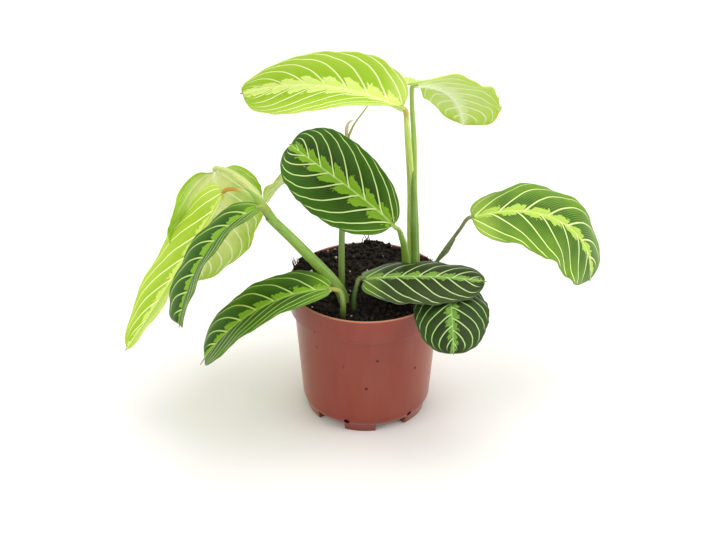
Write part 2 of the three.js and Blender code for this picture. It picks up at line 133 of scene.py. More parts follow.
# What sets the leaves' finishes apart: their slot, the colours of the upper face's panels by the
# band and by the margin, its texture (how light its base is, and how strong its fine strands are),
# its marks (band, veins and rim), and the underside's blade, margin and veins.
LOOKS = {
    "dark": dict(
        slot="leaf_dark", panel=("163406", "34620C"), texture=(0.2, 0.6),
        marks=("76A022", "CEE294", "6F7A50"), under=("8FA876", "7A9C4A", "B8CC9A")),
    # Painted shade: a darker, greyer copy of the dark finish, for the low leaf_front_centre.
    "dusk": dict(
        slot="leaf_dark", panel=("18270B", "2C3E1A"), texture=(0.55, 0.5),
        marks=("72983A", "B8CE90", "6E7862"), under=("8A9C74", "76904C", "B4C49A")),
    # Painted shade: a darker copy of the dark finish, for leaf_front_right, which lies in the shadow of
    # leaf_front_centre.
    "dim": dict(
        slot="leaf_dark", panel=("132308", "284016"), texture=(0.2, 0.5),
        marks=("648C34", "A6C47C", "66705A"), under=("8A9C74", "76904C", "B4C49A")),
    "deep": dict(
        slot="leaf_dark", panel=("1E4806", "3E6C10"), texture=(0.5, 0.4),
        marks=("7CA62A", "BCD478", "7C8A48"), under=("9AB47C", "86AC40", "C4D8A0")),
    "fresh": dict(
        slot="leaf_green", panel=("305C10", "648C1E"), texture=(0.65, 1.0),
        marks=("A8C450", "DCEC9C", "94985A"), under=("A4BB80", "90B840", "CFE0A8")),
    "lime": dict(
        slot="leaf_lime", panel=("9ABE24", "A8C442"), texture=(0.3, 0.8),
        marks=("E6F298", "F6FCC8", "D8E690"), under=("C4D884", "B4D444", "E4F2B0")),
    "yellow": dict(
        slot="leaf_lime", panel=("94B61F", "AEC63E"), texture=(0.3, 0.8),
        marks=("C8DC68", "ECF5AC", "D8E88A"), under=("CCDA70", "BCD63C", "EAF4A8")),
    "pale": dict(
        slot="leaf_pale", panel=("9CC440", "BEDA58"), texture=(0.3, 0.8),
        marks=("CFE47A", "ECF6B8", "CFE08A"), under=("CBDF82", "B8D634", "EEF8D0")),
    # Painted light: the pale finish with its underside painted lighter, to lift the shade on the
    # underside of leaf_left_back.
    "glow": dict(
        slot="leaf_pale", panel=("94BC30", "AED23C"), texture=(0.3, 0.8),
        marks=("C4DC60", "ECF6B8", "CFE08A"), under=("E8F29E", "9CC80C", "EEF8C4")),
}

# The stems' canes, in mm. A cane runs through points, with a radius at each. foot is where it rises
# from the soil, which takes two more radii. leaf is the leaf it ends at, tint how orange its end is,
# joint how long that orange is against the usual, pale and deep how much lighter or darker it is, and
# dry how papery. A stem's look is its colour in the settings.
STEMS = {
    "stem_left": dict(slot="stem_green", look="stem", canes=[
        dict(foot=(-17, -25), points=[(-19, -25, 112), (-48, -28, 152), (-70.5, -32, 180)],
             radii=[4.4, 4.3, 4.2, 3.8, 3.4]),
        dict(points=[(-66, -31, 174), (-76, -27.5, 189), (-85.3, -26, 199)], radii=[3.3, 2.6, 0.7],
             pale=0.2),
        dict(points=[(-75, -28, 187), (-89, -13, 190), (-98.5, -5, 188.6)], radii=[1.9, 1.6, 1.5],
             leaf="leaf_far_left", tint=1.0, joint=2.1, pale=0.7),
        dict(points=[(-70, -31, 179), (-80, -14, 187), (-98, 18, 188), (-111, 37, 184.5)],
             radii=[3.0, 3.3, 2.5, 1.6], leaf="leaf_left_back", tint=0.1, pale=1.0, dry=0.2),
        dict(points=[(-66, -31.5, 174), (-71, -35, 185)], radii=[3, 2.2],
             leaf="leaf_left_front", tint=0.3),
    ]),
    "stem_middle": dict(slot="stem_pale", look="thin", canes=[
        dict(foot=(-18.5, -16),
             points=[(-18.5, 0, 149), (-15.5, 19, 181.5), (-15.5, 31, 201), (-13.5, 36, 213)],
             radii=[2.6, 2.5, 2.3, 2, 1.7, 1.1]),
        dict(points=[(-15.6, 25, 191), (-15.5, 30, 200)], radii=[1.7, 1.6], leaf="leaf_behind",
             tint=0.2),
        dict(points=[(-14.4, 35, 210), (-9.2, 38, 221), (-1.2, 42, 231), (1.8, 43.5, 235)],
             radii=[1, 0.75, 0.6, 0.5], dry=0.45),
        dict(points=[(-14.9, 35, 210), (-15.0, 37, 217.5), (-13.4, 38.5, 222), (-10.2, 40, 223.5)],
             radii=[1.3, 1.4, 1.0, 0.5], dry=1.0),
    ]),
    "stem_right": dict(slot="stem_green", look="stem", canes=[
        dict(foot=(38.6, 13.5), points=[(37, 16, 144), (36, 19, 188)], radii=[3.2, 3.1, 2.9, 1.2]),
        # This petiole runs on down the stem's left side to the soil, pale: its own pale colour, and a
        # painted highlight down the left side of the stem.
        dict(foot=(35.2, 11.6),
             points=[(33.6, 14, 144), (33, 16, 180), (30.2, 12.2, 218), (28.6, 9.6, 236)],
             radii=[3.2, 3.1, 3, 2.8, 2.5, 1.9], leaf="leaf_top_left", tint=0.6, pale=1.0),
        # Painted shade: the sheath in front is darkened (deep), for the dark middle of the stem.
        dict(foot=(37.4, 9.2), points=[(35.8, 10.6, 144), (35.0, 12.8, 176), (34.4, 13.4, 194)],
             radii=[2.5, 2.6, 2.5, 2.0, 0.4], deep=0.5),
        dict(points=[(35.6, 19, 178), (35, 25, 214), (33, 29.5, 244)], radii=[2.3, 2, 1.6],
             leaf="leaf_top_right", tint=0.1, pale=0.25),
    ]),
    "stem_centre": dict(slot="stem_green", look="stem", canes=[
        dict(foot=(31, 3), points=[(28.5, -3.5, 137), (24.6, -20, 160)], radii=[3.1, 3, 2.7, 1.9]),
        dict(points=[(25.8, -14, 152), (23, -25, 166)], radii=[2, 1.5], leaf="leaf_centre",
             tint=0.1),
    ]),
    "stem_far_right": dict(slot="stem_dark", look="shade", canes=[
        dict(foot=(45, 6), points=[(53.7, 9, 119), (60.5, 8.4, 129.5), (66.5, 7.6, 140)],
             radii=[1.3, 1.3, 1.4, 2.6, 1.0], deep=0.85, dry=0.1),
        dict(points=[(60, 8.3, 131), (70, 7, 148)], radii=[1.5, 1.4], leaf="leaf_right", tint=0.1,
             deep=0.65, dry=0.15),
    ]),
    "stem_front_centre": dict(slot="stem_dark", look="shade", canes=[
        # Its own dark olive, and painted shade: this petiole is darkened (deep) beyond its shaded look.
        dict(foot=(-9, -35), points=[(-9.5, -34.5, 110), (-8, -32.5, 120)], radii=[2, 2, 1.9, 1.6],
             leaf="leaf_front_centre", tint=0.15, deep=0.6),
    ]),
    "stem_front_right": dict(slot="stem_dark", look="shade", canes=[
        dict(foot=(45, -6), points=[(50, -4, 111), (57, -4, 119.5), (60.5, -10, 119)],
             radii=[2.2, 2.2, 2, 1.8, 1.8], leaf="leaf_front_right", tint=0.3),
    ]),
    "stem_front_left": dict(slot="stem_green", look="shade", canes=[
        dict(foot=(-18, -41), points=[(-17.5, -44, 114), (-19.5, -46.5, 126)],
             radii=[2.5, 2.4, 2, 1.5], leaf="leaf_front_left", tint=0.35, pale=0.35, joint=0.9),
    ]),
}


def linear(code):
    """An sRGB hex colour as linear red, green, blue and alpha."""
    values = []
    for start in (0, 2, 4):
        value = int(code[start:start + 2], 16) / 255
        values.append(value / 12.92 if value <= 0.04045 else ((value + 0.055) / 1.055) ** 2.4)
    return (*values, 1.0)


def size(name, description, default):
    """A length property in metres."""
    return FloatProperty(
        name=name, description=description, default=default, min=0, unit="LENGTH", subtype="DISTANCE")


def colour(name, description, code):
    """A colour property from an sRGB hex code."""
    return FloatVectorProperty(
        name=name, description=description, default=linear(code), size=4, min=0, max=1,
        subtype="COLOR")


class PotSettings(bpy.types.PropertyGroup):
    """Sizes and colours of the nursery pot."""

    height: size("Height", "Height of the pot from the table to the rim", POT_BOX[1][2])
    rim_radius: size("Rim radius", "Outer radius at the top of the collar", POT_BOX[1][0])
    collar_radius: size("Collar radius", "Outer radius at the bottom of the collar", 59 * MM)
    collar_height: size("Collar height", "Height of the collar", 20 * MM)
    shoulder_radius: size("Shoulder radius", "Outer radius just under the collar", 55.6 * MM)
    lower_radius: size("Lower radius", "Outer radius above the rounded bottom corner", 50 * MM)
    corner_radius: size("Corner radius", "Radius of the rounded bottom corner", 8 * MM)
    wall: size("Wall", "Thickness of the wall and the floor", 1.6 * MM)
    foot_height: size("Foot height", "Height of the floor's underside above the table", 4.3 * MM)
    foot_outer: size("Foot outer radius", "Radius of the ring of feet, outside", 46.6 * MM)
    foot_inner: size("Foot inner radius", "Radius of the ring of feet, inside", 39 * MM)
    drain_radius: size("Drain radius", "Radius of the drain holes in the corner", 2.3 * MM)
    drain_height: size("Drain height", "Height of the drain holes above the table", 9.5 * MM)
    plastic: colour("Plastic", "Colour of the plastic", "80280F")
    dust: colour("Dust", "Colour of dried dust", "B37A66")
    # Painted highlight: the paler top of the rim stands in for light along its lip.
    rim_highlight: colour("Highlight", "Colour of the highlit top of the rim", "CF9476")


class SoilSettings(bpy.types.PropertyGroup):
    """Sizes and colours of the soil."""

    edge_height: size("Edge height", "Height of the soil at the pot's wall", 98.5 * MM)
    middle_height: size("Middle height", "Height of the soil in the middle", 101 * MM)
    lump_height: size("Lump height", "Height of the soil's lumps", 1.9 * MM)
    heap: size("Heap", "How much higher the soil is at the back of the pot", 9 * MM)
    clearance: size("Clearance", "Gap between the soil and the pot", 0.3 * MM)
    crumbs: IntProperty(name="Crumbs", description="Number of loose crumbs", default=1900, min=0)
    perlite: IntProperty(name="Perlite", description="Number of perlite grains", default=70, min=0)
    fibres: IntProperty(name="Fibres", description="Number of root fibres", default=150, min=0)
    peat: colour("Peat", "Colour of moist peat", "1F1712")
    bark: colour("Bark", "Colour of the redder crumbs", "3E281C")
    grain: colour("Grain", "Colour of perlite", "E9E5DA")


class StemSettings(bpy.types.PropertyGroup):
    """Sizes and colours of the stems."""

    step: size("Step", "Distance between the rings of a cane", 1.5 * MM)
    reach: size("Reach", "How far a cane runs into the base of its leaf", 1.6 * MM)
    joint: size("Joint length", "Length of the swollen joint under a leaf", 9 * MM)
    hair: size("Hair", "Length of the longest hairs", 1.3 * MM)
    hairs_per_mm: FloatProperty(
        name="Hairs per mm", description="Number of hairs on a mm of cane", default=1.6, min=0)
    sides: IntProperty(name="Sides", description="Sides of a cane", default=24, min=8)
    stem: colour("Stem", "Colour of a thick stem", "7A9E36")
    shade: colour("Shaded stem", "Colour of a stem low in the plant", "5A7A30")
    thin: colour("Thin stem", "Colour of the thin middle stem", "748C3E")
    petiole: colour("Petiole", "Colour of a pale young petiole", "CDE072")
    orange: colour("Joint", "Colour of an orange joint", "B48A1C")
    papery: colour("Dry", "Colour of a dry stalk or bract", "D0C0A0")


class LeafSettings(bpy.types.PropertyGroup):
    """Sizes and colours of the leaves."""

    rows: IntProperty(name="Rows", description="Rows of faces along a blade", default=150, min=16)
    columns: IntProperty(name="Columns", description="Faces across a blade", default=84, min=8)
    thickness: size("Thickness", "Thickness of a blade", 0.5 * MM)
    rib: size("Rib", "Thickness of the midrib at the base", 1.9 * MM)
    wave: size("Wave", "Height of the margin's waves", 1.8 * MM)
    quilt: size("Quilt", "How far the blade bulges between its veins", 0.7 * MM)
    vein: size("Vein", "Half width of a side vein", 0.75 * MM)
    lobe: size("Lobe", "How far the base reaches back beside the petiole", 1.8 * MM)


# The colours of a leaf's panels go from the inner to the outer one.
PANEL_PARTS = {"inner": "next to the band", "outer": "by its margin"}
for look, finish in LOOKS.items():
    for (part, where), code in zip(PANEL_PARTS.items(), finish["panel"]):
        LeafSettings.__annotations__[f"{look}_{part}"] = colour(
            f"{look.title()}, {part}", f"{look.title()} leaf {where}", code)


class StageSettings(bpy.types.PropertyGroup):
    """Camera, floor and lights."""

    distance: size("Distance", "Camera's distance from the point that it looks at", 1.1)
    elevation: FloatProperty(
        name="Elevation", description="Camera's angle above level", default=math.radians(30.3),
        subtype="ANGLE", unit="ROTATION")
    focal: FloatProperty(
        name="Focal length", description="Focal length in mm on a 36 mm wide sensor", default=72.8)
    floor_radius: size("Floor radius", "Radius of the round floor", 6.0)
    floor: colour("Floor", "Colour of the floor", "F2F0EE")
    surroundings: FloatProperty(
        name="Surroundings", description="Brightness of the white room", default=0.8, min=0)


# The soft lights: where each one is, its width, its power and its colour.
LIGHTS = {
    "softbox_top": ((0.2, 0.3, 1.6), 1.4, 14, (1.0, 0.99, 0.97)),
    "softbox_right": ((1.5, -0.5, 0.9), 1.1, 11.5, (1.0, 0.99, 0.98)),
    "softbox_left": ((-1.4, -0.9, 0.9), 1.0, 9, (1.0, 1.0, 0.99)),
}

# The camera looks at this point, in metres. It stands in front of the plant, to the -Y side.
LOOK_AT = Vector((-6.5, 0, 117)) * MM


def toned(tone, share, lift=0):
    """A colour made darker or lighter by a share, and lifted by a little."""
    return [min(1, channel * share + lift) for channel in tone[:3]] + [1]


def per(width):
    """The scale of a pattern whose features are this wide, in mm."""
    return 1 / (width * MM)


SMOOTH = {"interpolation_type": "SMOOTHSTEP"}


def new_material(name):
    """An empty node material, and the function that adds one node to it."""
    material = bpy.data.materials.new(name)
    material.use_nodes = True
    tree = material.node_tree
    tree.nodes.clear()

    def add(kind, *values, named=None, take=None, **settings):
        """Adds a node with its settings. Sets or links its inputs, in order or by name, and returns
        its first output, or the one to take."""
        node = tree.nodes.new("ShaderNode" + kind)
        for key, value in settings.items():
            setattr(node, key, value)
        inputs = [socket for socket in node.inputs if socket.enabled]
        by_name = [(node.inputs[key], value) for key, value in (named or {}).items()]
        for socket, value in [*zip(inputs, values), *by_name]:
            if isinstance(value, bpy.types.NodeSocket):
                tree.links.new(value, socket)
            else:
                socket.default_value = value
        outputs = [socket for socket in node.outputs if socket.enabled]
        return node.outputs[take] if take else next(iter(outputs), None)

    return material, add


def layered(add, tone, *layers):
    """Lays colours over a first one, each where its mask is, and returns the result."""
    for mask, over in layers:
        tone = add("Mix", mask, tone, over, data_type="RGBA")
    return tone


def to_mesh(bm, name):
    """The bmesh as a smooth mesh."""
    mesh = bpy.data.meshes.new(name)
    bm.to_mesh(mesh)
    bm.free()
    mesh.shade_smooth()
    return mesh


def finished(mesh, sharp, material):
    """The mesh in one material, smooth but for its edges over the sharp angle, in degrees."""
    mesh.shade_smooth()
    mesh.set_sharp_from_angle(angle=math.radians(sharp))
    mesh.materials.clear()
    mesh.materials.append(material)
    return mesh


def put(name, mesh, slot, *nodes):
    """The mesh as a piece that rides on the plant's one body, in place of the CAD nodes named."""
    piece = bpy.data.objects.new(name, mesh)
    bpy.context.scene.collection.objects.link(piece)
    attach(piece, BODY)
    if nodes:
        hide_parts(*nodes)
    return piece


def combined(base, tools, operation):
    """The base mesh with the tool meshes joined to it or cut out of it."""
    scene = bpy.context.scene
    body = bpy.data.objects.new("base", base)
    scene.collection.objects.link(body)
    box = bpy.data.collections.new("tools")
    scene.collection.children.link(box)
    for tool in tools:
        box.objects.link(bpy.data.objects.new("tool", tool))
    modifier = body.modifiers.new("Boolean", "BOOLEAN")
    modifier.operation = operation
    modifier.solver = "EXACT"
    modifier.operand_type = "COLLECTION"
    modifier.collection = box
    graph = bpy.context.evaluated_depsgraph_get()
    result = bpy.data.meshes.new_from_object(body.evaluated_get(graph))
    for spare in [body, *box.objects]:
        bpy.data.objects.remove(spare)
    bpy.data.collections.remove(box)
    return result


def moved(verts, move):
    """Sets each vertex to what move gives for its place."""
    for vert in verts:
        vert.co = move(vert.co)


def extruded(bm, loop):
    """Extrudes edges where they are, and returns the new vertices and the new edges."""
    made = bmesh.ops.extrude_edge_only(bm, edges=loop)["geom"]
    verts = [item for item in made if isinstance(item, bmesh.types.BMVert)]
    return verts, [item for item in made if isinstance(item, bmesh.types.BMEdge)]


# Pot

# The feet's angles are in degrees, from +X, and each drain hole is beside a foot.
FOOT_COUNT = 6
FIRST_FOOT = -96
FOOT_SPAN = 30
FOOT_TOP = 4.7 * MM
FOOT_SLOPE = 3.3 * MM
FOOT_FLARE = 1.8 * MM
FOOT_CUTS = 11
FOOT_ROUNDING = 0.5 * MM
DRAIN_OFFSET = -12
DRAIN_DEPTH = 16 * MM
POT_STEPS = 180
DRIED_SOIL = "4A1E12"


def arc(radius, height, bend, start, end, steps):
    """Points on an arc of radius bend round (radius, height), with angles in degrees from +X."""
    points = []
    for step in range(steps + 1):
        angle = math.radians(start + (end - start) * step / steps)
        points.append((radius + bend * math.cos(angle), height + bend * math.sin(angle)))
    return points


def pot_profile(pot):
    """The pot's section, from the axis under the floor round the rim to the axis on the floor."""
    corner = pot.lower_radius - pot.corner_radius
    corner_height = pot.foot_height + pot.corner_radius
    ledge = pot.height - pot.collar_height
    inner = pot.corner_radius - pot.wall
    lip = pot.wall / 2
    edge = 0.5 * MM
    rim = pot.rim_radius - lip
    under = ledge + pot.wall
    return [
        (0, pot.foot_height),
        *arc(corner, corner_height, pot.corner_radius, -90, 0, 10),
        (pot.shoulder_radius - 0.1 * MM, ledge - 1.2 * MM),
        (pot.shoulder_radius, ledge - edge),
        (pot.shoulder_radius + edge, ledge),
        *arc(pot.collar_radius - edge, ledge + edge, edge, -90, 0, 4),
        *arc(rim, pot.height - lip, lip, 0, 180, 8),
        *arc(pot.collar_radius - pot.wall - edge, under + edge, edge, 0, -90, 4),
        *arc(pot.shoulder_radius - pot.wall + edge, under - edge, edge, 90, 180, 4),
        *arc(corner, corner_height, inner, 0, -90, 8),
        (0, pot.foot_height + pot.wall),
    ]


def pot_shell(pot):
    """The pot's wall and floor, spun from its section."""
    bm = bmesh.new()
    verts = [bm.verts.new((radius, 0, z)) for radius, z in pot_profile(pot)]
    edges = [bm.edges.new(pair) for pair in zip(verts, verts[1:])]
    bmesh.ops.spin(
        bm, geom=verts + edges, cent=(0, 0, 0), axis=(0, 0, 1), angle=2 * math.pi, steps=POT_STEPS,
        use_merge=True)
    bmesh.ops.remove_doubles(bm, verts=bm.verts, dist=0.01 * MM)
    bmesh.ops.recalc_face_normals(bm, faces=bm.faces)
    return to_mesh(bm, "pot_shell")


def foot_angles(offset=0):
    """The feet's compass angles in radians, turned by an offset in degrees."""
    return [math.radians(FIRST_FOOT + offset + 360 * foot / FOOT_COUNT) for foot in range(FOOT_COUNT)]


def foot(pot, middle):
    """One foot: a block bent round the pot's axis. Its outer face runs on from the pot's corner and
    its top slopes with the corner, inside the wall."""
    bm = bmesh.new()
    bmesh.ops.create_cube(bm, size=1)
    lengthwise = [edge for edge in bm.edges if abs(edge.verts[0].co.y - edge.verts[1].co.y) > 0.5]
    bmesh.ops.subdivide_edges(bm, edges=lengthwise, cuts=FOOT_CUTS)

    def bent(place):
        angle = middle + place.y * math.radians(FOOT_SPAN)
        outer = place.x + 0.5
        upper = place.z + 0.5
        radius = pot.foot_inner + outer * (pot.foot_outer - pot.foot_inner + upper * FOOT_FLARE)
        z = upper * (FOOT_TOP + outer * FOOT_SLOPE)
        return Vector((radius * math.cos(angle), radius * math.sin(angle), z))

    moved(bm.verts, bent)
    bm.normal_update()
    square = math.radians(60)
    rounded = [edge for edge in bm.edges if edge.calc_face_angle(0) > square]
    bmesh.ops.bevel(
        bm, geom=rounded, offset=FOOT_ROUNDING, segments=3, profile=0.5, affect="EDGES", material=-1)
    return to_mesh(bm, "foot")


def drain(pot, angle):
    """One drain hole's cutter: a short cylinder that points out from the pot's axis."""
    bm = bmesh.new()
    turn = Matrix.Rotation(angle, 4, "Z") @ Matrix.Translation((pot.foot_outer, 0, pot.drain_height))
    bmesh.ops.create_cone(
        bm, cap_ends=True, segments=28, radius1=pot.drain_radius, radius2=pot.drain_radius,
        depth=DRAIN_DEPTH, matrix=turn @ Matrix.Rotation(math.pi / 2, 4, "Y"))
    return to_mesh(bm, "drain")


def specks(add, place, width, rarity, size_noise):
    """A mask of rough dots: one in each cell of a pattern that is picked, by its rarity."""
    cells = add("TexVoronoi", place, per(width))
    pick = add("SeparateColor", cells.node.outputs["Color"])
    picked = add("Math", pick, rarity, operation="GREATER_THAN")
    spot = add("Math", cells, size_noise, operation="LESS_THAN")
    return add("Math", picked, spot, operation="MULTIPLY")


def plastic_material(pot):
    """Terracotta-coloured polypropylene, injection moulded: satin, with a faint dusty bloom, a painted
    highlight along the top of the rim, painted shade towards the bottom, and a few specks and small
    flecks of dried soil on the outside. The grain of its skin is drawn coarser than the real one, so
    that it shows."""
    material, add = new_material("polypropylene_moulded")
    place = add("TexCoord", take="Object")
    clouds = add("TexNoise", place, per(35.7), 4)
    fine = add("TexNoise", place, per(3.85), 3)
    upright = add("Mapping", place, named={"Scale": (1, 1, 0.25)})
    streaks = add("TexNoise", upright, per(16.7), 2)
    bloom = add("MapRange", streaks, 0.3, 0.8, 0, 0.14)
    shade = add("MapRange", clouds, 0.3, 0.7, 0, 0.25)
    height = add("SeparateXYZ", place, take="Z")
    # Painted shade: the plastic darkens over the lowest 16 mm, towards the feet.
    painted_shade_low = add("MapRange", height, 0, 16 * MM, 0.9, 0)
    # Painted highlight: the top of the rim's lip is painted paler, as a thin light line.
    rim_top_highlight = add("MapRange", height, pot.height - 1.2 * MM, pot.height - 0.4 * MM, 0, 0.55)
    rough_size = add("Math", fine, 0.28, operation="MULTIPLY")
    large = specks(add, place, 9.524, 0.8, rough_size)
    small = specks(add, upright, 4.348, 0.93, rough_size)
    faint = add("Math", small, 0.6, operation="MULTIPLY")
    speck = add("Math", large, faint, operation="MAXIMUM")
    darker = toned(pot.plastic, 0.75)
    tone = layered(
        add, pot.plastic, (shade, darker), (bloom, pot.dust), (painted_shade_low, darker), (rim_top_highlight, pot.rim_highlight),
        (speck, linear(DRIED_SOIL)))
    satin = add("MapRange", streaks, 0.3, 0.8, 0.28, 0.36)
    rough = add("Math", satin, speck, operation="MAXIMUM")
    grain = add("Bump", named={"Height": fine, "Strength": 0.12, "Distance": 0.15 * MM})
    shader = add("BsdfPrincipled", named={
        "Base Color": tone, "Roughness": rough, "IOR": 1.49, "Normal": grain, "Sheen Weight": 0.3,
        "Sheen Roughness": 0.35, "Sheen Tint": (1, 0.66, 0.45, 1), "Subsurface Weight": 0.08,
        "Subsurface Radius": (1, 0.45, 0.3), "Subsurface Scale": 1.5 * MM})
    add("OutputMaterial", shader)
    return material


class PLANT_OT_pot(bpy.types.Operator):
    """Builds the nursery pot, with its collar, feet and drain holes"""

    bl_idname = "plant.pot"
    bl_label = "Pot"

    def execute(self, context):
        pot = context.scene.plant_pot
        whole = combined(pot_shell(pot), [foot(pot, angle) for angle in foot_angles()], "UNION")
        cutters = [drain(pot, angle) for angle in foot_angles(DRAIN_OFFSET)]
        mesh = finished(combined(whole, cutters, "DIFFERENCE"), 35, plastic_material(pot))
        put("nursery_pot", mesh, "pot_plastic", "pot")
        return {"FINISHED"}


# Soil

# A mound is at a place, with a width and a rise, and a heap at a place, with a spread, all in mm.
# Loose crumbs, perlite grains and coarse crumbs have a smallest and largest radius and a flatness.
SOIL_CELLS = 150
SOIL_SEED = 11
HEAP_START = 1.0
MOUNDS = ((4, 46, 13, 2.7), (-51, 22, 11, 5.5))
LUMP_WIDTH = 11 * MM
CRUMB_WIDTH = 2.6 * MM
CRUMB_HEIGHT = 0.55 * MM
EDGE_LUMPS = 0.35
EDGE_FADE = 0.08
TUFTS = ((-53 * MM, 19 * MM), (-2 * MM, 54 * MM), (48 * MM, 27 * MM))
TUFT_FIBRES = 8
TUFT_SPREAD = 2.2 * MM
TUFT_LEAN = 0.5
TUFT_RISE = (0.8, 1.6)
TUFT_WANDER = 0.25
TUFT_STEP = (1.1, 2.9)
TUFT_RADII = (0.5 * MM, 0.45 * MM, 0.4 * MM, 0.3 * MM, 0.12 * MM)
HEAPS = ((-55, 15, 3), (-49, 27, 4), (-38, 41, 4), (4, 52, 4), (12, 52, 5), (30, 45, 4), (46, 31, 4))
HEAP_CRUMBS = 26
HEAP_DEPTH = 0.6
HEAP_RISE = 0.9
FOOT_CRUMBS = 34
FOOT_REACH = (1.0, 1.5)
FOOT_RISE = 1.6
LOOSE = (0.5 * MM, 2.8 * MM, 0.5)
PERLITE = (0.35 * MM, 1.5 * MM, 0.6)
COARSE = (0.6 * MM, 2.4 * MM, 0.5)
CRUMB_FINENESS = 2.5
CRUMB_ROUGHNESS = 0.22
CRUMB_SINK = 0.35
FIBRE_STEPS = 6
FIBRE_LENGTH = (4, 13)
FIBRE_RADIUS = (0.1, 0.2)
FIBRE_RISE = (-0.1, 0.9)
FIBRE_TURN = 0.5
FIBRE_WANDER = 0.3
FIBRE_SAG = 0.25
FIBRE_TAPER = 0.1
STAIN = "8A7462"


def soil_edge(pot, soil):
    """The soil's radius at its top edge, just inside the collar's wall."""
    ledge = pot.height - pot.collar_height
    lean = (pot.rim_radius - pot.collar_radius) / pot.collar_height
    return pot.collar_radius - pot.wall - soil.clearance + lean * (soil.edge_height - ledge)


def soil_height(pot, soil, x, y):
    """Height of the soil at a place: a low dome with lumps, and crumbs on the lumps."""
    radius = math.hypot(x, y) / soil_edge(pot, soil)
    dome = soil.edge_height + (soil.middle_height - soil.edge_height) * (1 - radius ** 2)
    back = max(0.0, (y / soil_edge(pot, soil) + HEAP_START) / (1 + HEAP_START))
    dome += soil.heap * back
    for across, along, width, rise in MOUNDS:
        away = math.hypot(x / MM - across, y / MM - along) / width
        dome += rise * MM * math.exp(-away ** 2)
    lumps = noise.fractal(Vector((x, y, 0)) / LUMP_WIDTH, 1.0, 2.0, 3)
    crumbs = noise.fractal(Vector((x, y, 5 * MM)) / CRUMB_WIDTH, 0.8, 2.0, 3)
    fade = min(1.0, max(EDGE_LUMPS, (1 - radius) / EDGE_FADE))
    return dome + fade * (lumps * soil.lump_height + crumbs * CRUMB_HEIGHT)


def ground(pot, soil, x, y, lift=0.0):
    """The place on the soil at x and y, or above it."""
    return Vector((x, y, soil_height(pot, soil, x, y) + lift))


def soil_body(pot, soil):
    """The soil: a fine lumpy top, with sides that follow the pot's inside down to its floor."""
    edge = soil_edge(pot, soil)
    bm = bmesh.new()
    bmesh.ops.create_grid(bm, x_segments=SOIL_CELLS, y_segments=SOIL_CELLS, size=1)

    def rounded(place):
        x = place.x * math.sqrt(1 - place.y ** 2 / 2) * edge
        y = place.y * math.sqrt(1 - place.x ** 2 / 2) * edge
        return Vector((x, y, soil_height(pot, soil, x, y)))

    moved(bm.verts, rounded)
    gap = pot.wall + soil.clearance
    corner = pot.lower_radius - pot.corner_radius
    ledge = pot.height - pot.collar_height
    rings = [
        (pot.collar_radius - gap, ledge + gap),
        (pot.shoulder_radius - gap, ledge + gap),
        *arc(corner, pot.foot_height + pot.corner_radius, pot.corner_radius - gap, 0, -90, 5),
    ]
    loop = [item for item in bm.edges if item.is_boundary]
    last = edge
    for radius, z in rings:
        fresh, loop = extruded(bm, loop)
        loop = [item for item in loop if item.is_boundary]
        share = radius / last
        moved(fresh, lambda place: Vector((place.x * share, place.y * share, z)))
        last = radius
    bmesh.ops.contextual_create(bm, geom=loop)
    bmesh.ops.recalc_face_normals(bm, faces=bm.faces)
    return to_mesh(bm, "soil")


def scattered(pot, soil, count, rng, shape):
    """A mesh of many loose bits on the soil. shape adds one bit to the bmesh at a place."""
    bm = bmesh.new()
    edge = soil_edge(pot, soil) - 0.8 * MM
    for _ in range(count):
        radius = edge * math.sqrt(rng.random())
        angle = rng.uniform(0, 2 * math.pi)
        shape(bm, ground(pot, soil, radius * math.cos(angle), radius * math.sin(angle)), rng)
    return to_mesh(bm, "bits")


def heaped(pot, soil, rng, shape):
    """Coarse bits piled up by the rim, where the soil stands over it, and round the stems' feet."""
    bm = bmesh.new()
    edge = soil_edge(pot, soil) - 0.5 * MM
    for x, y, spread in HEAPS:
        for _ in range(HEAP_CRUMBS):
            place = Vector((x + rng.gauss(0, spread), y + rng.gauss(0, spread * HEAP_DEPTH), 0)) * MM
            place *= min(1, edge / place.length)
            rise = abs(rng.gauss(0, HEAP_RISE)) * MM
            shape(bm, ground(pot, soil, place.x, place.y, rise), rng)
    feet = [cane for stem in STEMS.values() for cane in stem["canes"] if "foot" in cane]
    for cane in feet:
        x, y = cane["foot"]
        for _ in range(FOOT_CRUMBS):
            angle = rng.uniform(0, 2 * math.pi)
            away = cane["radii"][0] * rng.uniform(*FOOT_REACH)
            across = (x + away * math.cos(angle)) * MM
            along = (y + away * math.sin(angle)) * MM
            shape(bm, ground(pot, soil, across, along, rng.uniform(0, FOOT_RISE) * MM), rng)
    return to_mesh(bm, "heaps")


def crumb(low, high, squash):
    """A function that adds one rough grain, with a radius between low and high."""
    def shape(bm, place, rng):
        radius = low + (high - low) * rng.random() ** CRUMB_FINENESS
        turn = Matrix.Rotation(rng.uniform(0, math.pi), 4, Vector((rng.random(), rng.random(), 1)))
        scale = Matrix.Diagonal((1, rng.uniform(0.6, 1), rng.uniform(squash, 1), 1))
        matrix = Matrix.Translation(place + Vector((0, 0, radius * CRUMB_SINK))) @ turn @ scale
        grain = bmesh.ops.create_icosphere(bm, subdivisions=1, radius=radius, matrix=matrix)
        for vert in grain["verts"]:
            shift = [rng.uniform(-CRUMB_ROUGHNESS, CRUMB_ROUGHNESS) * radius for _ in range(3)]
            vert.co += Vector(shift)
    return shape


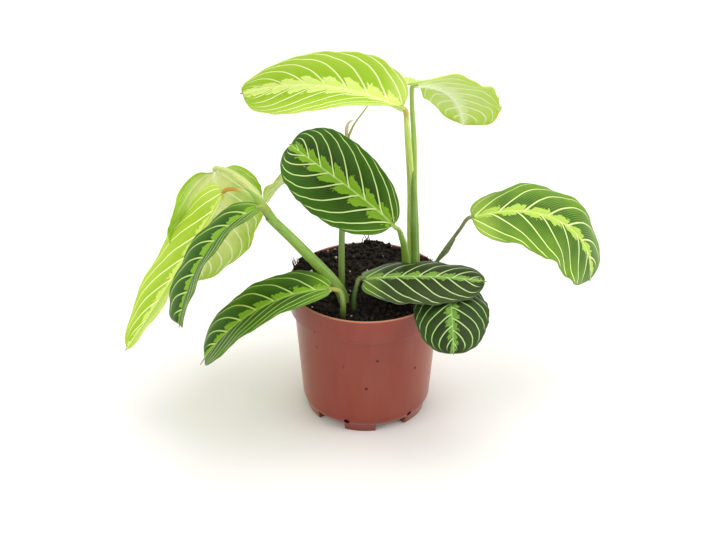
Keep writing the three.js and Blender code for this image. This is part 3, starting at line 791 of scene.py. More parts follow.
def fibre(bm, place, rng):
    """Adds one thin root fibre that lies on the soil or sticks up from it."""
    length = rng.uniform(*FIBRE_LENGTH) * MM
    radius = rng.uniform(*FIBRE_RADIUS) * MM
    heading = rng.uniform(0, 2 * math.pi)
    rise = rng.uniform(*FIBRE_RISE) ** 2
    turn = rng.uniform(-FIBRE_TURN, FIBRE_TURN)
    points = [place + Vector((0, 0, 0.1 * MM))]
    for step in range(FIBRE_STEPS):
        flat = math.cos(rise)
        towards = Vector((math.cos(heading) * flat, math.sin(heading) * flat, math.sin(rise)))
        points.append(points[-1] + towards * length / FIBRE_STEPS)
        heading += turn + rng.uniform(-FIBRE_WANDER, FIBRE_WANDER)
        rise -= rng.uniform(0, FIBRE_SAG)
    tube(bm, points, [radius * (1 - FIBRE_TAPER * step) for step in range(FIBRE_STEPS + 1)], 4)


def tufts(pot, soil, rng):
    """Bundles of coarse peat fibres that stick up at a few places by the rim."""
    bm = bmesh.new()
    for x, y in TUFTS:
        for _ in range(TUFT_FIBRES):
            across = x + rng.gauss(0, TUFT_SPREAD)
            back = y + rng.gauss(0, TUFT_SPREAD)
            points = [ground(pot, soil, across, back, -0.5 * MM)]
            lean = Vector(
                (rng.gauss(0, TUFT_LEAN), rng.gauss(0, TUFT_LEAN), rng.uniform(*TUFT_RISE)))
            for _ in range(len(TUFT_RADII) - 1):
                lean += Vector((rng.gauss(0, TUFT_WANDER), rng.gauss(0, TUFT_WANDER), 0))
                points.append(points[-1] + lean.normalized() * rng.uniform(*TUFT_STEP) * MM)
            tube(bm, points, TUFT_RADII, 5)
    return to_mesh(bm, "tufts")


def peat_material(soil):
    """Moist sphagnum peat, milled: near-black crumbs with rusty ones among them, quite matt."""
    material, add = new_material("peat_milled")
    place = add("TexCoord", take="Object")
    patches = add("TexNoise", place, per(8.333), 6)
    bits = add("TexVoronoi", place, per(2.083), take="Color")
    rusty = add("MapRange", add("SeparateColor", bits), 0.7, 1, 0, 0.8)
    depth = add("MapRange", patches, 0.35, 0.65, 0, 1)
    tone = layered(add, toned(soil.peat, 0.35), (depth, soil.peat), (rusty, soil.bark))
    fine = add("TexNoise", place, per(0.714), 4)
    grain = add("Bump", named={"Height": fine, "Strength": 0.7, "Distance": 0.4 * MM})
    shader = add("BsdfPrincipled", named={
        "Base Color": tone, "Roughness": 0.85, "Normal": grain, "Specular IOR Level": 0.35})
    add("OutputMaterial", shader)
    return material


def perlite_material(soil):
    """Expanded perlite, crushed: chalky white grains, dulled by the soil they lie in."""
    material, add = new_material("perlite_crushed")
    place = add("TexCoord", take="Object")
    stains = add("TexNoise", place, per(1.4286), 4)
    dulled = add("MapRange", stains, 0.4, 0.75, 0, 0.8)
    tone = layered(add, soil.grain, (dulled, linear(STAIN)))
    shader = add("BsdfPrincipled", named={"Base Color": tone, "Roughness": 0.9})
    add("OutputMaterial", shader)
    return material


class PLANT_OT_soil(bpy.types.Operator):
    """Builds the soil with its crumbs, perlite and root fibres"""

    bl_idname = "plant.soil"
    bl_label = "Soil"

    def execute(self, context):
        pot = context.scene.plant_pot
        soil = context.scene.plant_soil
        rng = random.Random(SOIL_SEED)
        meshes = {
            "soil_bulk": soil_body(pot, soil),
            "soil_crumbs": scattered(pot, soil, soil.crumbs, rng, crumb(*LOOSE)),
            "soil_perlite": scattered(pot, soil, soil.perlite, rng, crumb(*PERLITE)),
            "soil_fibres": scattered(pot, soil, soil.fibres, rng, fibre),
            "soil_tufts": tufts(pot, soil, rng),
            "soil_heaps": heaped(pot, soil, rng, crumb(*COARSE)),
        }
        peat = peat_material(soil)
        perlite = perlite_material(soil)
        for name, mesh in meshes.items():
            mesh.materials.append(perlite if name == "soil_perlite" else peat)
            put(name, mesh, "soil", "soil")
        return {"FINISHED"}


# Stems

# A cane that rises from the soil starts at the depth of its foot and reaches the collar straight
# up. Towards its leaf it swells over the lead, and at the swelling. It has ridges, as a share of
# its radius. NO_LEAF stands for the distance to a leaf that isn't there. A branch takes on its own
# tone over the blend. On its skin, STRANDS of fine lines fit in its radius, STRAND_LENGTH long.
# All lengths are in mm.
SOIL_FOOT = 87
SOIL_COLLAR = 98
LEAD = 3
LEAD_SWELL = 1.02
END_SHARE = 0.8
SWELLING = (0.07, 5, 3)
RIDGES = 6
RIDGE = 0.02
NO_LEAF = 999
BLEND = 18
HAIR_SEED = 5
HAIR_RADIUS = 0.05 * MM
HAIR_ROOT = 0.97
HAIR_LEAN = (0.1, 0.7)
HAIR_SHARE = (0.5, 1)
STRAND_LENGTH = 30
STRANDS = 5
CANE_MAPS = ("cane", "tint", "tone", "round", "lift")
HAIR_TONES = ("DDE8C0", "B9CC8A")
WET_SOIL = "2A1E14"

# The colour of a stem's foot and how strong it is there, by look. On the shaded stems the dark foot
# is painted shade by the soil.
ROOT_TONES_AND_SHADE = {"stem": ("C7D2A0", 0.55), "shade": ("33301C", 0.9), "thin": ("5E6434", 0.55)}


def spline(points, samples=40):
    """A centripetal Catmull-Rom curve through the points: places, with their share of the way."""
    padded = [2 * points[0] - points[1], *points, 2 * points[-1] - points[-2]]
    places = []
    spans = len(points) - 1
    for span in range(spans):
        four = padded[span:span + 4]
        knots = [0.0]
        for before, after in zip(four, four[1:]):
            knots.append(knots[-1] + (after - before).length ** 0.5)
        for sample in range(samples):
            t = knots[1] + (knots[2] - knots[1]) * sample / samples
            level = four
            for reach in (1, 2):
                shares = [(t - knots[k]) / (knots[k + reach] - knots[k]) for k in range(4 - reach)]
                level = [a.lerp(b, share) for a, b, share in zip(level, level[1:], shares)]
            part = (t - knots[1]) / (knots[2] - knots[1])
            places.append((level[0].lerp(level[1], part), (span + sample / samples) / spans))
    places.append((points[-1], 1.0))
    return places


def resampled(places, step):
    """Places at even distances along a finely sampled curve: (place, share, distance) for each."""
    reach = [0.0]
    for (before, _), (after, _) in zip(places, places[1:]):
        reach.append(reach[-1] + (after - before).length)
    count = max(4, round(reach[-1] / step))
    result = []
    low = 0
    for index in range(count + 1):
        target = reach[-1] * index / count
        while low < len(reach) - 2 and reach[low + 1] < target:
            low += 1
        part = (target - reach[low]) / max(reach[low + 1] - reach[low], 1e-9)
        place = places[low][0].lerp(places[low + 1][0], part)
        share = places[low][1] + (places[low + 1][1] - places[low][1]) * part
        result.append((place, share, target))
    return result


def list_at(values, share):
    """The value at a share of the way through a list."""
    spot = share * (len(values) - 1)
    low = min(int(spot), len(values) - 2)
    return values[low] + (values[low + 1] - values[low]) * (spot - low)


def tube(bm, points, radii, sides, ridge=0.0):
    """Adds a closed tube through the points by extruding a circle, and returns its rings."""
    ring = bmesh.ops.create_circle(bm, cap_ends=False, segments=sides, radius=1)["verts"]
    for index, vert in enumerate(ring):
        vert.co *= 1 + ridge * math.cos(2 * math.pi * RIDGES * index / sides)
    loop = list({edge for vert in ring for edge in vert.link_edges})
    first = loop
    rings = [ring]
    placed = Matrix.Identity(4)
    ahead = (points[1] - points[0]).normalized()
    across = ahead.orthogonal().normalized()
    for index, place in enumerate(points):
        before = points[max(index - 1, 0)]
        after = points[min(index + 1, len(points) - 1)]
        ahead = (after - before).normalized()
        across = (across - ahead * across.dot(ahead)).normalized()
        side = ahead.cross(across)
        turn = Matrix((across, side, ahead)).transposed().to_4x4()
        target = Matrix.Translation(place) @ turn @ Matrix.Scale(radii[index], 4)
        if index:
            ring, loop = extruded(bm, loop)
            rings.append(ring)
        bmesh.ops.transform(bm, matrix=target @ placed.inverted(), verts=ring)
        placed = target
    bmesh.ops.holes_fill(bm, edges=first + loop, sides=sides)
    return rings


def leaf_start(name):
    """The base of a leaf and the direction in which its midrib sets out, in mm."""
    leaf = LEAVES[name]
    along, _, _ = blade_frames(leaf, np.zeros(1))
    return Vector(leaf["base"]), Vector(along[0])


def cane_track(cane, stems):
    """A cane's even steps along its curve, in mm, and its radius at each, in metres."""
    points = [Vector(point) for point in cane["points"]]
    radii = list(cane["radii"])
    if "foot" in cane:
        x, y = cane["foot"]
        points = [Vector((x, y, SOIL_FOOT)), Vector((x, y, SOIL_COLLAR)), *points]
    if "leaf" in cane:
        base, along = leaf_start(cane["leaf"])
        points += [base - along * LEAD, base + along * stems.reach / MM]
        radii += [radii[-1] * LEAD_SWELL, radii[-1] * END_SHARE]
    track = resampled(spline(points), stems.step / MM)
    total = track[-1][2]
    rise, before, width = SWELLING
    widths = []
    for _, share, distance in track:
        left = (total - distance - before) / width
        joint = rise * math.exp(-left ** 2) if "leaf" in cane else 0
        widths.append(list_at(radii, share) * (1 + joint) * MM)
    return track, widths


def cane_mesh(cane, stems):
    """One cane as a tube. Its UV maps hold what its colour depends on: how far a place is from the
    leaf and along the cane, which way it faces, and the cane's tints."""
    track, widths = cane_track(cane, stems)
    total = track[-1][2]
    bm = bmesh.new()
    rings = tube(bm, [place * MM for place, _, _ in track], widths, stems.sides, ridge=RIDGE)
    values = {}
    for ring, (place, _, distance), width in zip(rings, track, widths):
        left = (total - distance) / cane.get("joint", 1) if "tint" in cane else NO_LEAF
        blend = 1 if "foot" in cane else min(1, distance / BLEND)
        for vert in ring:
            outward = (vert.co - place * MM) / width
            values[vert] = (
                (left, blend), (cane.get("tint", 0), cane.get("dry", 0)),
                (cane.get("pale", 0) * blend, cane.get("deep", 0) * blend),
                outward.xy, (outward.z, distance / STRAND_LENGTH))
    layers = [bm.loops.layers.uv.new(name) for name in CANE_MAPS]
    for face in bm.faces:
        for loop in face.loops:
            for layer, value in zip(layers, values[loop.vert]):
                loop[layer].uv = value
    bmesh.ops.recalc_face_normals(bm, faces=bm.faces)
    return to_mesh(bm, "cane")


def stem_hairs(stem, stems, rng):
    """Short fine hairs on all the canes of a stem, each a thin three-sided spike."""
    bm = bmesh.new()
    for cane in stem["canes"]:
        track, widths = cane_track(cane, stems)
        total = track[-1][2]
        for _ in range(round(total * stems.hairs_per_mm)):
            index = rng.randrange(1, len(track) - 1)
            ahead = (track[index + 1][0] - track[index - 1][0]).normalized()
            across = ahead.orthogonal().normalized()
            across.rotate(Matrix.Rotation(rng.uniform(0, 2 * math.pi), 3, ahead))
            towards = (across + ahead * rng.uniform(*HAIR_LEAN)).normalized()
            length = stems.hair * rng.uniform(*HAIR_SHARE)
            root = track[index][0] * MM + across * widths[index] * HAIR_ROOT
            turn = towards.to_track_quat("Z", "Y").to_matrix().to_4x4()
            bmesh.ops.create_cone(
                bm, cap_ends=True, segments=3, radius1=HAIR_RADIUS, radius2=HAIR_RADIUS / 5,
                depth=length, matrix=Matrix.Translation(root + towards * length / 2) @ turn)
    return to_mesh(bm, "hairs")


def hair_material():
    """Plant hair, grown: a clear, pale and slightly glossy spike that catches the light."""
    material, add = new_material("plant_hair")
    patches = add("TexNoise", add("TexCoord", take="Object"), per(3.333), 2)
    clear, dull = (linear(code) for code in HAIR_TONES)
    tone = layered(add, clear, (patches, dull))
    shader = add("BsdfPrincipled", named={
        "Base Color": tone, "Roughness": 0.5, "Subsurface Weight": 0.3,
        "Subsurface Radius": (1, 1, 0.7), "Subsurface Scale": 0.3 * MM})
    add("OutputMaterial", shader)
    return material


def stem_material(stems, look, name):
    """A living petiole, grown: waxy green with fine lengthwise strands, paler where it is young,
    turning orange-brown at the swollen joint under a leaf and papery where it is dry. The strands
    are drawn wider than the real ones, so that they show."""
    material, add = new_material(name)
    green = getattr(stems, look)
    root, strength = ROOT_TONES_AND_SHADE[look]
    parts = {}
    for uv_map in CANE_MAPS:
        split = add("SeparateXYZ", add("UVMap", uv_map=uv_map)).node
        parts[uv_map] = split.outputs["X"], split.outputs["Y"]
    to_leaf = parts["cane"][0]
    orange, dry = parts["tint"]
    pale, dull = parts["tone"]
    sideways, forwards = parts["round"]
    upwards, distance = parts["lift"]
    place = add("TexCoord", take="Object")
    height = add("SeparateXYZ", place, take="Z")
    mottle = add("TexNoise", place, per(14.29), 4)
    slipped = add("Math", sideways, distance, operation="ADD")
    around = add("CombineXYZ", slipped, forwards, upwards)
    strands = add("TexNoise", around, STRANDS, 3)

    young = add("MapRange", height, 110 * MM, 215 * MM, 0, 0.55)
    # Towards the soil the stem takes its foot colour; on the shaded stems this is painted shade.
    rootward = add("MapRange", height, 98 * MM, 118 * MM, strength, 0)
    low = add("MapRange", height, 101 * MM, 108 * MM, 0.75, 0)
    soiled = add("Math", low, mottle, operation="MULTIPLY")
    line = add("MapRange", strands, 0.42, 0.62, 0, 0.4)
    patch = add("MapRange", mottle, 0.4, 0.7, 0, 0.3)
    joint = stems.joint / MM
    near = add("MapRange", to_leaf, joint * 0.7, joint * 1.4, 1, 0, **SMOOTH)
    swollen = add("Math", near, orange, operation="MULTIPLY")
    light = toned(green, 1.5, 0.04)
    deep = toned(green, 0.55)
    tone = layered(
        add, green, (young, light), (pale, stems.petiole), (dull, deep), (rootward, linear(root)),
        (soiled, linear(WET_SOIL)), (line, deep), (patch, light), (swollen, stems.orange),
        (dry, stems.papery))
    grain = add("Bump", named={"Height": strands, "Strength": 0.35, "Distance": 0.25 * MM})
    shader = add("BsdfPrincipled", named={
        "Base Color": tone, "Roughness": 0.42, "Normal": grain, "Subsurface Weight": 0.15,
        "Subsurface Radius": (0.6, 1, 0.2), "Subsurface Scale": 1.2 * MM})
    add("OutputMaterial", shader)
    return material


class PLANT_OT_stems(bpy.types.Operator):
    """Builds the stems, each with its sheaths and the swollen joints under its leaves"""

    bl_idname = "plant.stems"
    bl_label = "Stems"

    def execute(self, context):
        stems = context.scene.plant_stems
        materials = {
            "stem": stem_material(stems, "stem", "petiole_thick"),
            "shade": stem_material(stems, "shade", "petiole_shaded"),
            "thin": stem_material(stems, "thin", "petiole_thin"),
        }
        rng = random.Random(HAIR_SEED)
        down = hair_material()
        for name, stem in STEMS.items():
            parts = [cane_mesh(cane, stems) for cane in stem["canes"]]
            mesh = combined(parts[0], parts[1:], "UNION") if len(parts) > 1 else parts[0]
            mesh = finished(mesh, 50, materials[stem["look"]])
            put(name.replace("stem", "petiole"), mesh, stem["slot"], name)
            hairs = stem_hairs(stem, stems, rng)
            hairs.materials.append(down)
            put(name.replace("stem", "hairs"), hairs, stem["slot"], name)
        return {"FINISHED"}


# Leaves

# What all blades share. Their width thins to the neck at both ends, and their rib by the taper. The
# tail at the tip starts at a share of the length, and the lobes beside the base start and fade out
# over others. The veins bend forward by the margin, crowd together by the tip, and the right
# half's are out of step with the left half's. Bulges and grooves are in mm, as is what they depend
# on. Half a vein may be as wide as VEIN_SHARE of the distance between two veins.
NECK = 1.3
TAPER = 0.6
TAIL_FROM = 0.992
LOBE_START = 0.004
LOBE_FADE = 0.07
LOBE_WIDTH = 33
TAIL_END = 0.3
UNEVEN = 0.008
RIPPLES = (41, 83)
WAVES = 3.2
WAVE_FROM = 0.6
FRILL = 0.5
LEAF_PHASE = 2.4
SIDE_PHASE = 2.1
VEIN_BEND = 0.17
VEIN_CROWDING = 0.14
VEIN_OFFSET = 0.38
BULGE_FROM_EDGE = 6
BULGE_FROM_RIB = 5
BULGE_WIDTH = 9
GROOVE = 0.7
GROOVE_WIDTH = 1.7
GROOVE_END = 3
RIB_WIDTH = 1.1
RAISED = 0.12
RAISED_FROM_EDGE = 8
MARGIN_CROWDING = 1.15
NEAR = 0.004
SLOPE_STEP = 0.001
BAND_END = 0.25
BAND_SHAPE = (0.75, 0.6)
VEIN_SHARE = 0.09
FIELDS = ("out", "edge", "across", "along", "gauge", "reach")
DEAD_TIP = "8C7A4E"


def blade_frames(leaf, t):
    """The blade's directions along, to its right and up, at each share t of its length."""
    turn = np.radians(leaf["heading"] + leaf["bend"] * t)
    pitch = np.radians(leaf["rise"] - leaf["droop"] * t ** leaf["late"])
    roll = np.radians(leaf["roll"] + leaf["twist"] * t)[:, None]
    along = np.stack([np.cos(turn) * np.cos(pitch), np.sin(turn) * np.cos(pitch), np.sin(pitch)], 1)
    level = np.stack([np.sin(turn), -np.cos(turn), np.zeros_like(turn)], 1)
    upright = np.cross(level, along)
    right = level * np.cos(roll) - upright * np.sin(roll)
    up = upright * np.cos(roll) + level * np.sin(roll)
    return along, right, up


def midrib(leaf, t, tail):
    """The midrib's place at each t, in mm. Its last stretch runs on into the tail."""
    steps = 400
    middle = (np.arange(steps) + 0.5) / steps
    along, _, _ = blade_frames(leaf, middle)
    places = np.vstack([np.zeros(3), np.cumsum(along, 0) * leaf["length"] / steps])
    knots = np.linspace(0, 1, steps + 1)
    rib = np.stack([np.interp(t, knots, places[:, axis]) for axis in range(3)], 1)
    end = np.clip((t - TAIL_FROM) / (1 - TAIL_FROM), 0, 1)[:, None]
    return np.array(leaf["base"]) + rib + along[-1] * end * tail


def half_width(leaf, t):
    """Half the blade's width at each t, in mm."""
    blunt = leaf["blunt"]
    widest = blunt / (blunt + leaf["tip"])
    share = np.clip(t / TAIL_FROM, 0, 1)
    base = (share / widest) ** blunt
    tip = ((1 - share) / (1 - widest)) ** leaf["tip"]
    long, short = RIPPLES
    uneven = np.sin(long * t + leaf["length"]) + 0.6 * np.sin(short * t + 2 * leaf["length"])
    neck = NECK * (1 - TAPER * t) * np.clip((1 - t) / (1 - TAIL_FROM), TAIL_END, 1)
    return np.maximum(leaf["half"] * base * tip * (1 + UNEVEN * uneven), neck)


def blade_surface(leaf, order, leaves, t, u):
    """The blade's upper face at t along the midrib and u across, in mm, without its fine relief."""
    along, right, up = blade_frames(leaf, t)
    out = np.abs(u)
    left = u < 0
    angle = np.radians(np.where(left, *leaf["fold"]) + np.where(left, *leaf["curl"]) * out / 2)
    width = half_width(leaf, t)
    phase = 2 * np.pi * WAVES * t + order * LEAF_PHASE + np.where(left, 0, SIDE_PHASE)
    strength = np.minimum(1, width / (leaf["half"] * WAVE_FROM)) * leaf["waved"]
    frill = FRILL * np.sin(2 * np.pi * vein_phase(leaf, t, u)) * out ** 6
    wave = (leaves.wave / MM * np.sin(phase) * out ** 2 + frill) * strength
    lobe = leaves.lobe / MM * leaf["lobe"] * leaf["half"] / LOBE_WIDTH * out ** 2
    lobe *= np.exp(-t / LOBE_FADE)
    place = midrib(leaf, t, leaf["tail"]) - along * (lobe * (1 - np.exp(-t / LOBE_START)))[:, None]
    place = place + right * (np.sign(u) * out * width * np.cos(angle))[:, None]
    return place + up * (out * width * np.sin(angle) + wave)[:, None]


def vein_phase(leaf, t, u):
    """Which side vein a place lies on: whole numbers are veins, which lean and curve forward."""
    out = np.abs(u)
    lean = np.where(u < 0, *leaf["lean"]) * leaf["half"] / leaf["length"]
    start = t - lean * out - VEIN_BEND * out ** 5
    side = np.where(u < 0, 0.0, VEIN_OFFSET)
    return leaf["veins"] * (start + VEIN_CROWDING * start * np.abs(start)) + side


def slope(value, place):
    """How fast a value changes at a place between 0 and 1."""
    after = np.clip(place + SLOPE_STEP, 0, 1)
    before = np.clip(place - SLOPE_STEP, 0, 1)
    return (value(after) - value(before)) / (after - before)


def blade_fields(leaf, t, u):
    """What the blade's relief and pattern are drawn from, each as one number a vertex: how far it is
    out from the midrib and in from the edge, both in mm, its shares across and along the blade, the
    distance between its veins, and the reach of its band."""
    width = half_width(leaf, t)
    across = np.abs(u)
    side = np.where(u < 0, -1, 1)
    growth = slope(lambda at: half_width(leaf, at), t)
    by_t = slope(lambda at: vein_phase(leaf, at, u), t)
    by_u = slope(lambda at: vein_phase(leaf, t, side * at), across)
    forward = (by_t - by_u * across * growth / width) / leaf["length"]
    skew, fullness = BAND_SHAPE
    middle = np.sin(np.pi * np.clip(t, 0, 1) ** skew) ** fullness
    return {
        "out": across * width,
        "edge": (1 - across) * width,
        "across": across,
        "along": t,
        "gauge": 1 / np.hypot(forward, by_u / width),
        "reach": leaf["band"] * (BAND_END + (1 - BAND_END) * middle),
    }


def relief(leaf, leaves, t, u, fields):
    """Height of the blade's fine relief, in mm: it bulges between its veins, which lie in soft
    grooves, and the midrib lies in a deeper one."""
    between = np.abs(np.sin(np.pi * vein_phase(leaf, t, u))) ** 0.7
    bulge = leaves.quilt / MM * between * np.clip(fields["gauge"] / BULGE_WIDTH, 0, 1)
    bulge *= np.clip(fields["edge"] / BULGE_FROM_EDGE, 0, 1)
    bulge *= np.clip(fields["out"] / BULGE_FROM_RIB, 0, 1)
    groove = GROOVE * np.exp(-(fields["out"] / GROOVE_WIDTH) ** 2) * (1 - TAPER * t)
    return bulge - groove * np.clip(fields["edge"] / GROOVE_END, 0, 1)


def blade_mesh(name, leaf, order, leaves):
    """One leaf's blade: a fine grid, closer at its margins and ends, with its relief and fields. The
    rib group says how thick it becomes, at the midrib and a little at the veins."""
    bm = bmesh.new()
    bmesh.ops.create_grid(bm, x_segments=leaves.columns, y_segments=leaves.rows, size=1)
    bm.verts.ensure_lookup_table()
    grid = np.array([vert.co for vert in bm.verts])
    u = np.clip(np.sign(grid[:, 0]) * np.abs(grid[:, 0]) ** MARGIN_CROWDING, -1, 1)
    t = (1 - np.cos(np.pi * np.clip((grid[:, 1] + 1) / 2, 0, 1))) / 2
    fields = blade_fields(leaf, t, u)

    def surface(forward, sideways):
        along = np.clip(t + forward, 0, 1)
        return blade_surface(leaf, order, leaves, along, np.clip(u + sideways, -1, 1))

    forwards = surface(NEAR, 0) - surface(-NEAR, 0)
    normal = np.cross(surface(0, NEAR) - surface(0, -NEAR), forwards)
    normal /= np.linalg.norm(normal, axis=1)[:, None] + 1e-12
    place = (surface(0, 0) + normal * relief(leaf, leaves, t, u, fields)[:, None]) * MM
    layers = {key: bm.verts.layers.float.new(key) for key in FIELDS}
    group = bm.verts.layers.deform.new()
    ribbed = np.exp(-(fields["out"] / RIB_WIDTH) ** 2) * (1 - TAPER * t) * (1 - t ** 8)
    between = np.abs(np.mod(vein_phase(leaf, t, u) + 0.5, 1) - 0.5) * fields["gauge"]
    veined = RAISED * np.exp(-between ** 2) * np.clip(fields["edge"] / RAISED_FROM_EDGE, 0, 1)
    weight = np.clip(ribbed + veined, 0, 1)
    for index, vert in enumerate(bm.verts):
        vert.co = place[index]
        vert[group][0] = float(weight[index])
        for key, layer in layers.items():
            vert[layer] = float(fields[key][index])
    vein_map = bm.loops.layers.uv.new("veins")
    for face in bm.faces:
        middle = sum(u[vert.index] for vert in face.verts)
        for loop in face.loops:
            index = loop.vert.index
            across = math.copysign(max(abs(u[index]), 1e-6), middle)
            phase = vein_phase(leaf, np.array([t[index]]), np.array([across]))[0]
            loop[vein_map].uv = (phase, t[index])
    return to_mesh(bm, name)


def leaf_pattern(add, leaves):
    """Adds the nodes that draw a leaf's veins, band and strands, and returns their masks."""
    place = add("TexCoord", take="Object")
    phase = add("SeparateXYZ", add("UVMap", uv_map="veins"))
    out, edge, across, along, gauge, reach = [
        add("Attribute", take="Fac", attribute_name=field) for field in FIELDS]
    jag = add("TexNoise", place, per(2.778), 2)
    mottle = add("TexNoise", place, per(11.765), 5)

    # Veins: lines where the phase is whole, thinner outwards, that end before the margin and the tip.
    aside = add("Math", phase, 0.5, operation="PINGPONG")
    distance = add("Math", aside, gauge, operation="MULTIPLY")
    usual = add("MapRange", across, 0.1, 1, leaves.vein / MM * 1.15, leaves.vein / MM * 0.6)
    room = add("Math", gauge, VEIN_SHARE, operation="MULTIPLY")
    width = add("Math", usual, room, operation="MINIMUM")
    core = add("Math", width, 0.35, operation="MULTIPLY")
    line = add("MapRange", distance, core, width, 1, 0, **SMOOTH)
    inside = add("MapRange", edge, 0.3, 2.4, 0, 1, **SMOOTH)
    before_tip = add("MapRange", along, 0.9, 0.985, 1, 0, **SMOOTH)
    drawn = add("Math", line, inside, operation="MULTIPLY")
    vein = add("Math", drawn, before_tip, operation="MULTIPLY")

    # Band: a skewed, ragged tooth at each vein, as far out as the band's reach.
    shifted = add("Math", phase, 0.05, operation="ADD")
    tooth = add("Math", shifted, operation="FRACT")
    skewed = add("Math", tooth, 1.5, operation="POWER")
    rest = add("Math", 1, skewed, operation="SUBTRACT")
    hump = add("Math", skewed, rest, operation="MULTIPLY")
    share = add("MapRange", hump, 0.02, 0.22, 0.4, 1.05, **SMOOTH)
    toothed = add("Math", share, reach, operation="MULTIPLY")
    ragged = add("MapRange", jag, 0.3, 0.7, -1.7, 1.7)
    limit = add("Math", toothed, ragged, operation="ADD")
    beyond = add("Math", out, limit, operation="SUBTRACT")
    band = add("MapRange", beyond, -0.5, 0.4, 1, 0, **SMOOTH)

    # Strands: eight fine lines between two veins, fewer than the real ones so that they show, and
    # bent a little.
    many = add("Math", phase, 8, operation="MULTIPLY")
    bent = add("Math", mottle, 0.9, operation="MULTIPLY")
    wandering = add("Math", many, bent, operation="ADD")
    strand = add("Math", wandering, 0.5, operation="PINGPONG")
    strands = add("MapRange", strand, 0, 0.24, 0.34, 0, **SMOOTH)

    # The panels' change outwards, the midrib, which thins to the tip, and the rim.
    wander = add("MapRange", mottle, 0.3, 0.7, -0.16, 0.16)
    blurred = add("Math", across, wander, operation="ADD")
    outward = add("MapRange", blurred, 0.22, 1, 0, 1)
    rib_width = add("MapRange", along, 0, 1, 1, 0.45)
    rib_core = add("Math", rib_width, 0.5, operation="MULTIPLY")
    rib = add("MapRange", out, rib_core, rib_width, 1, 0, **SMOOTH)
    rim = add("MapRange", edge, 0.15, 0.7, 0.5, 0, **SMOOTH)
    return {
        "vein": vein, "band": band, "strands": strands, "outward": outward, "rib": rib, "rim": rim,
        "along": along, "mottle": mottle, "place": place,
    }


def leaf_finish(add, tone, masks, smooth, rough):
    """Adds the shader that all leaf faces share: satin, with some light that comes through and a
    cell grain, which is drawn coarser than the real one, so that it shows."""
    roughness = add("MapRange", masks["mottle"], 0.3, 0.7, smooth, rough)
    cells = add("TexNoise", masks["place"], per(0.667), 2)
    height = add("Math", masks["strands"], cells, operation="ADD")
    grain = add("Bump", named={"Height": height, "Strength": 0.3, "Distance": 0.15 * MM})
    shader = add("BsdfPrincipled", named={
        "Base Color": tone, "Roughness": roughness, "Normal": grain, "Specular IOR Level": 0.2,
        "Specular Tint": (1, 1, 0.72, 1), "Subsurface Weight": 0.2,
        "Subsurface Radius": (0.7, 1, 0.15), "Subsurface Scale": 1.6 * MM})
    add("OutputMaterial", shader)


def upper_material(leaves, look):
    """The upper face of a prayer plant's blade, grown: a light toothed band along the midrib, pale
    veins that curve to the margin, darker panels between them, with a satin, faintly quilted skin."""
    material, add = new_material("blade_upper_" + look)
    masks = leaf_pattern(add, leaves)
    band, vein, rim = (linear(code) for code in LOOKS[look]["marks"])
    lightness, strength = LOOKS[look]["texture"]
    faint = add("Math", masks["strands"], strength, operation="MULTIPLY")
    young = add("MapRange", masks["along"], 0.02, 0.2, lightness, 0, **SMOOTH)
    ribbed = add("Math", masks["rib"], 0.45, operation="MULTIPLY")
    dead = add("MapRange", masks["along"], 0.991, 0.994, 0, 1)
    tone = layered(
        add, getattr(leaves, look + "_inner"), (masks["outward"], getattr(leaves, look + "_outer")),
        (faint, band), (young, band), (masks["band"], band), (ribbed, vein), (masks["vein"], vein),
        (masks["rim"], rim), (dead, linear(DEAD_TIP)))
    leaf_finish(add, tone, masks, 0.38, 0.5)
    return material


def under_material(leaves, look):
    """The underside of a prayer plant's blade, grown: paler and greyer than the upper face, with
    light veins that stand out from it and a brighter margin where light comes through."""
    material, add = new_material("blade_under_" + look)
    masks = leaf_pattern(add, leaves)
    blade, margin, vein = (linear(code) for code in LOOKS[look]["under"])
    by_tip = add("MapRange", masks["along"], 0.5, 0.95, 0, 0.9)
    thin = add("Math", masks["outward"], by_tip, operation="MAXIMUM")
    soft = add("Math", masks["band"], 0.4, operation="MULTIPLY")
    raised = add("Math", masks["vein"], masks["rib"], operation="MAXIMUM")
    tone = layered(add, blade, (thin, margin), (soft, vein), (masks["strands"], vein), (raised, vein))
    leaf_finish(add, tone, masks, 0.45, 0.6)
    return material


class PLANT_OT_leaves(bpy.types.Operator):
    """Builds the leaves, each a thin blade with a raised midrib, side veins and waved margins"""

    bl_idname = "plant.leaves"
    bl_label = "Leaves"

    def execute(self, context):
        leaves = context.scene.plant_leaves
        faces = {look: (upper_material(leaves, look), under_material(leaves, look)) for look in LOOKS}
        for order, (name, leaf) in enumerate(LEAVES.items()):
            mesh = blade_mesh(name, leaf, order, leaves)
            for material in faces[leaf["look"]]:
                mesh.materials.append(material)
            piece = put(name.replace("leaf", "blade"), mesh, LOOKS[leaf["look"]]["slot"], name)
            group = piece.vertex_groups.new(name="rib")
            wall = piece.modifiers.new("Thickness", "SOLIDIFY")
            wall.thickness = leaves.rib
            wall.offset = -1
            wall.vertex_group = group.name
            wall.thickness_vertex_group = leaves.thickness / leaves.rib
            wall.material_offset = 1
        return {"FINISHED"}


# Stage


def aimed(place, target):
    """A rotation that points a camera or light at place towards target."""
    return (target - place).to_track_quat("-Z", "Y").to_euler()


def area_light(name, place, width, power, warmth):
    """Adds one square soft light that points at the plant."""
    data = bpy.data.lights.new(name, "AREA")
    data.shape = "SQUARE"
    data.size = width
    data.energy = power
    data.color = warmth
    light = bpy.data.objects.new(name, data)
    light.location = place
    light.rotation_euler = aimed(Vector(place), LOOK_AT)
    bpy.context.scene.collection.objects.link(light)


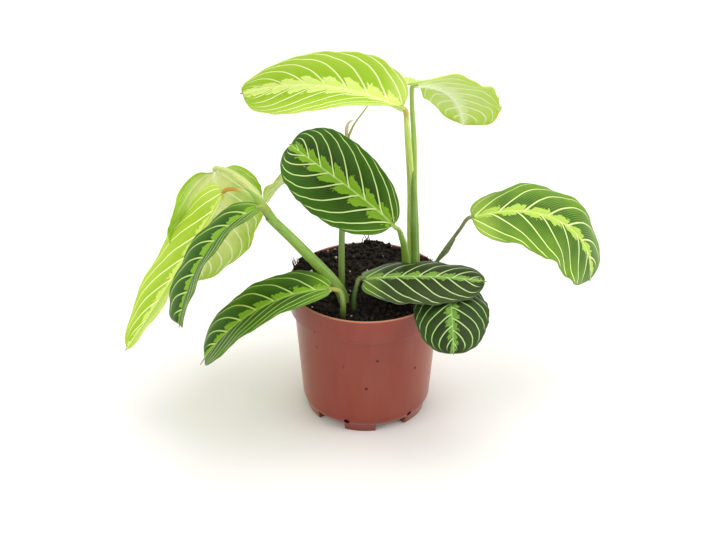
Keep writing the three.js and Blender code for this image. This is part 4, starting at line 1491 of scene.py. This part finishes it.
class PLANT_OT_stage(bpy.types.Operator):
    """Builds the pale floor, the soft lights and the camera"""

    bl_idname = "plant.stage"
    bl_label = "Stage"

    def execute(self, context):
        stage = context.scene.plant_stage
        scene = context.scene
        bm = bmesh.new()
        bmesh.ops.create_circle(bm, cap_ends=True, segments=96, radius=stage.floor_radius)
        floor = bpy.data.objects.new("floor", to_mesh(bm, "floor"))
        scene.collection.objects.link(floor)
        # Matt white paper, pressed: even and without gloss, so that only the soft shadow shows.
        material, add = new_material("paper_matt")
        shader = add("BsdfPrincipled", named={
            "Base Color": stage.floor, "Roughness": 0.8, "Specular IOR Level": 0.2})
        add("OutputMaterial", shader)
        floor.data.materials.append(material)

        world = bpy.data.worlds.new("white_room")
        scene.world = world
        world.use_nodes = True
        background = world.node_tree.nodes["Background"]
        background.inputs["Color"].default_value = (1, 1, 1, 1)
        background.inputs["Strength"].default_value = stage.surroundings
        for name, light in LIGHTS.items():
            area_light(name, *light)

        data = bpy.data.cameras.new("camera")
        data.sensor_fit = "HORIZONTAL"
        data.sensor_width = 36
        data.lens = stage.focal
        data.clip_end = 50
        camera = bpy.data.objects.new("camera", data)
        back = Vector((0, -math.cos(stage.elevation), math.sin(stage.elevation)))
        camera.location = LOOK_AT + back * stage.distance
        camera.rotation_euler = aimed(camera.location, LOOK_AT)
        scene.collection.objects.link(camera)
        bpy.context.scene.camera = camera
        scene.view_settings.view_transform = "Standard"
        return {"FINISHED"}


class PLANT_PT_build(bpy.types.Panel):
    """Lists the plant's operators and its main sizes"""

    bl_idname = "PLANT_PT_build"
    bl_label = "Prayer plant"
    bl_space_type = "VIEW_3D"
    bl_region_type = "UI"
    bl_category = "Plant"

    def draw(self, context):
        for operator in OPERATORS:
            self.layout.operator(operator.bl_idname)
        for name in SETTINGS:
            box = self.layout.box()
            group = getattr(context.scene, name)
            for key in group.__annotations__:
                box.prop(group, key)


SETTINGS = {
    "plant_pot": PotSettings,
    "plant_soil": SoilSettings,
    "plant_stems": StemSettings,
    "plant_leaves": LeafSettings,
    "plant_stage": StageSettings,
}
OPERATORS = (PLANT_OT_pot, PLANT_OT_soil, PLANT_OT_stems, PLANT_OT_leaves, PLANT_OT_stage)


def register():
    """Registers the classes and hangs the settings on the scene."""
    for name, group in SETTINGS.items():
        bpy.utils.register_class(group)
        setattr(bpy.types.Scene, name, PointerProperty(type=group))
    for operator in OPERATORS:
        bpy.utils.register_class(operator)
    bpy.utils.register_class(PLANT_PT_build)


def unregister():
    """Undoes what register did."""
    bpy.utils.unregister_class(PLANT_PT_build)
    for operator in reversed(OPERATORS):
        bpy.utils.unregister_class(operator)
    for name, group in reversed(SETTINGS.items()):
        delattr(bpy.types.Scene, name)
        bpy.utils.unregister_class(group)


def main():
    """Builds everything in order."""
    register()
    bpy.ops.plant.pot()
    bpy.ops.plant.soil()
    bpy.ops.plant.stems()
    bpy.ops.plant.leaves()
    bpy.ops.plant.stage()


if __name__ == "__main__":
    main()
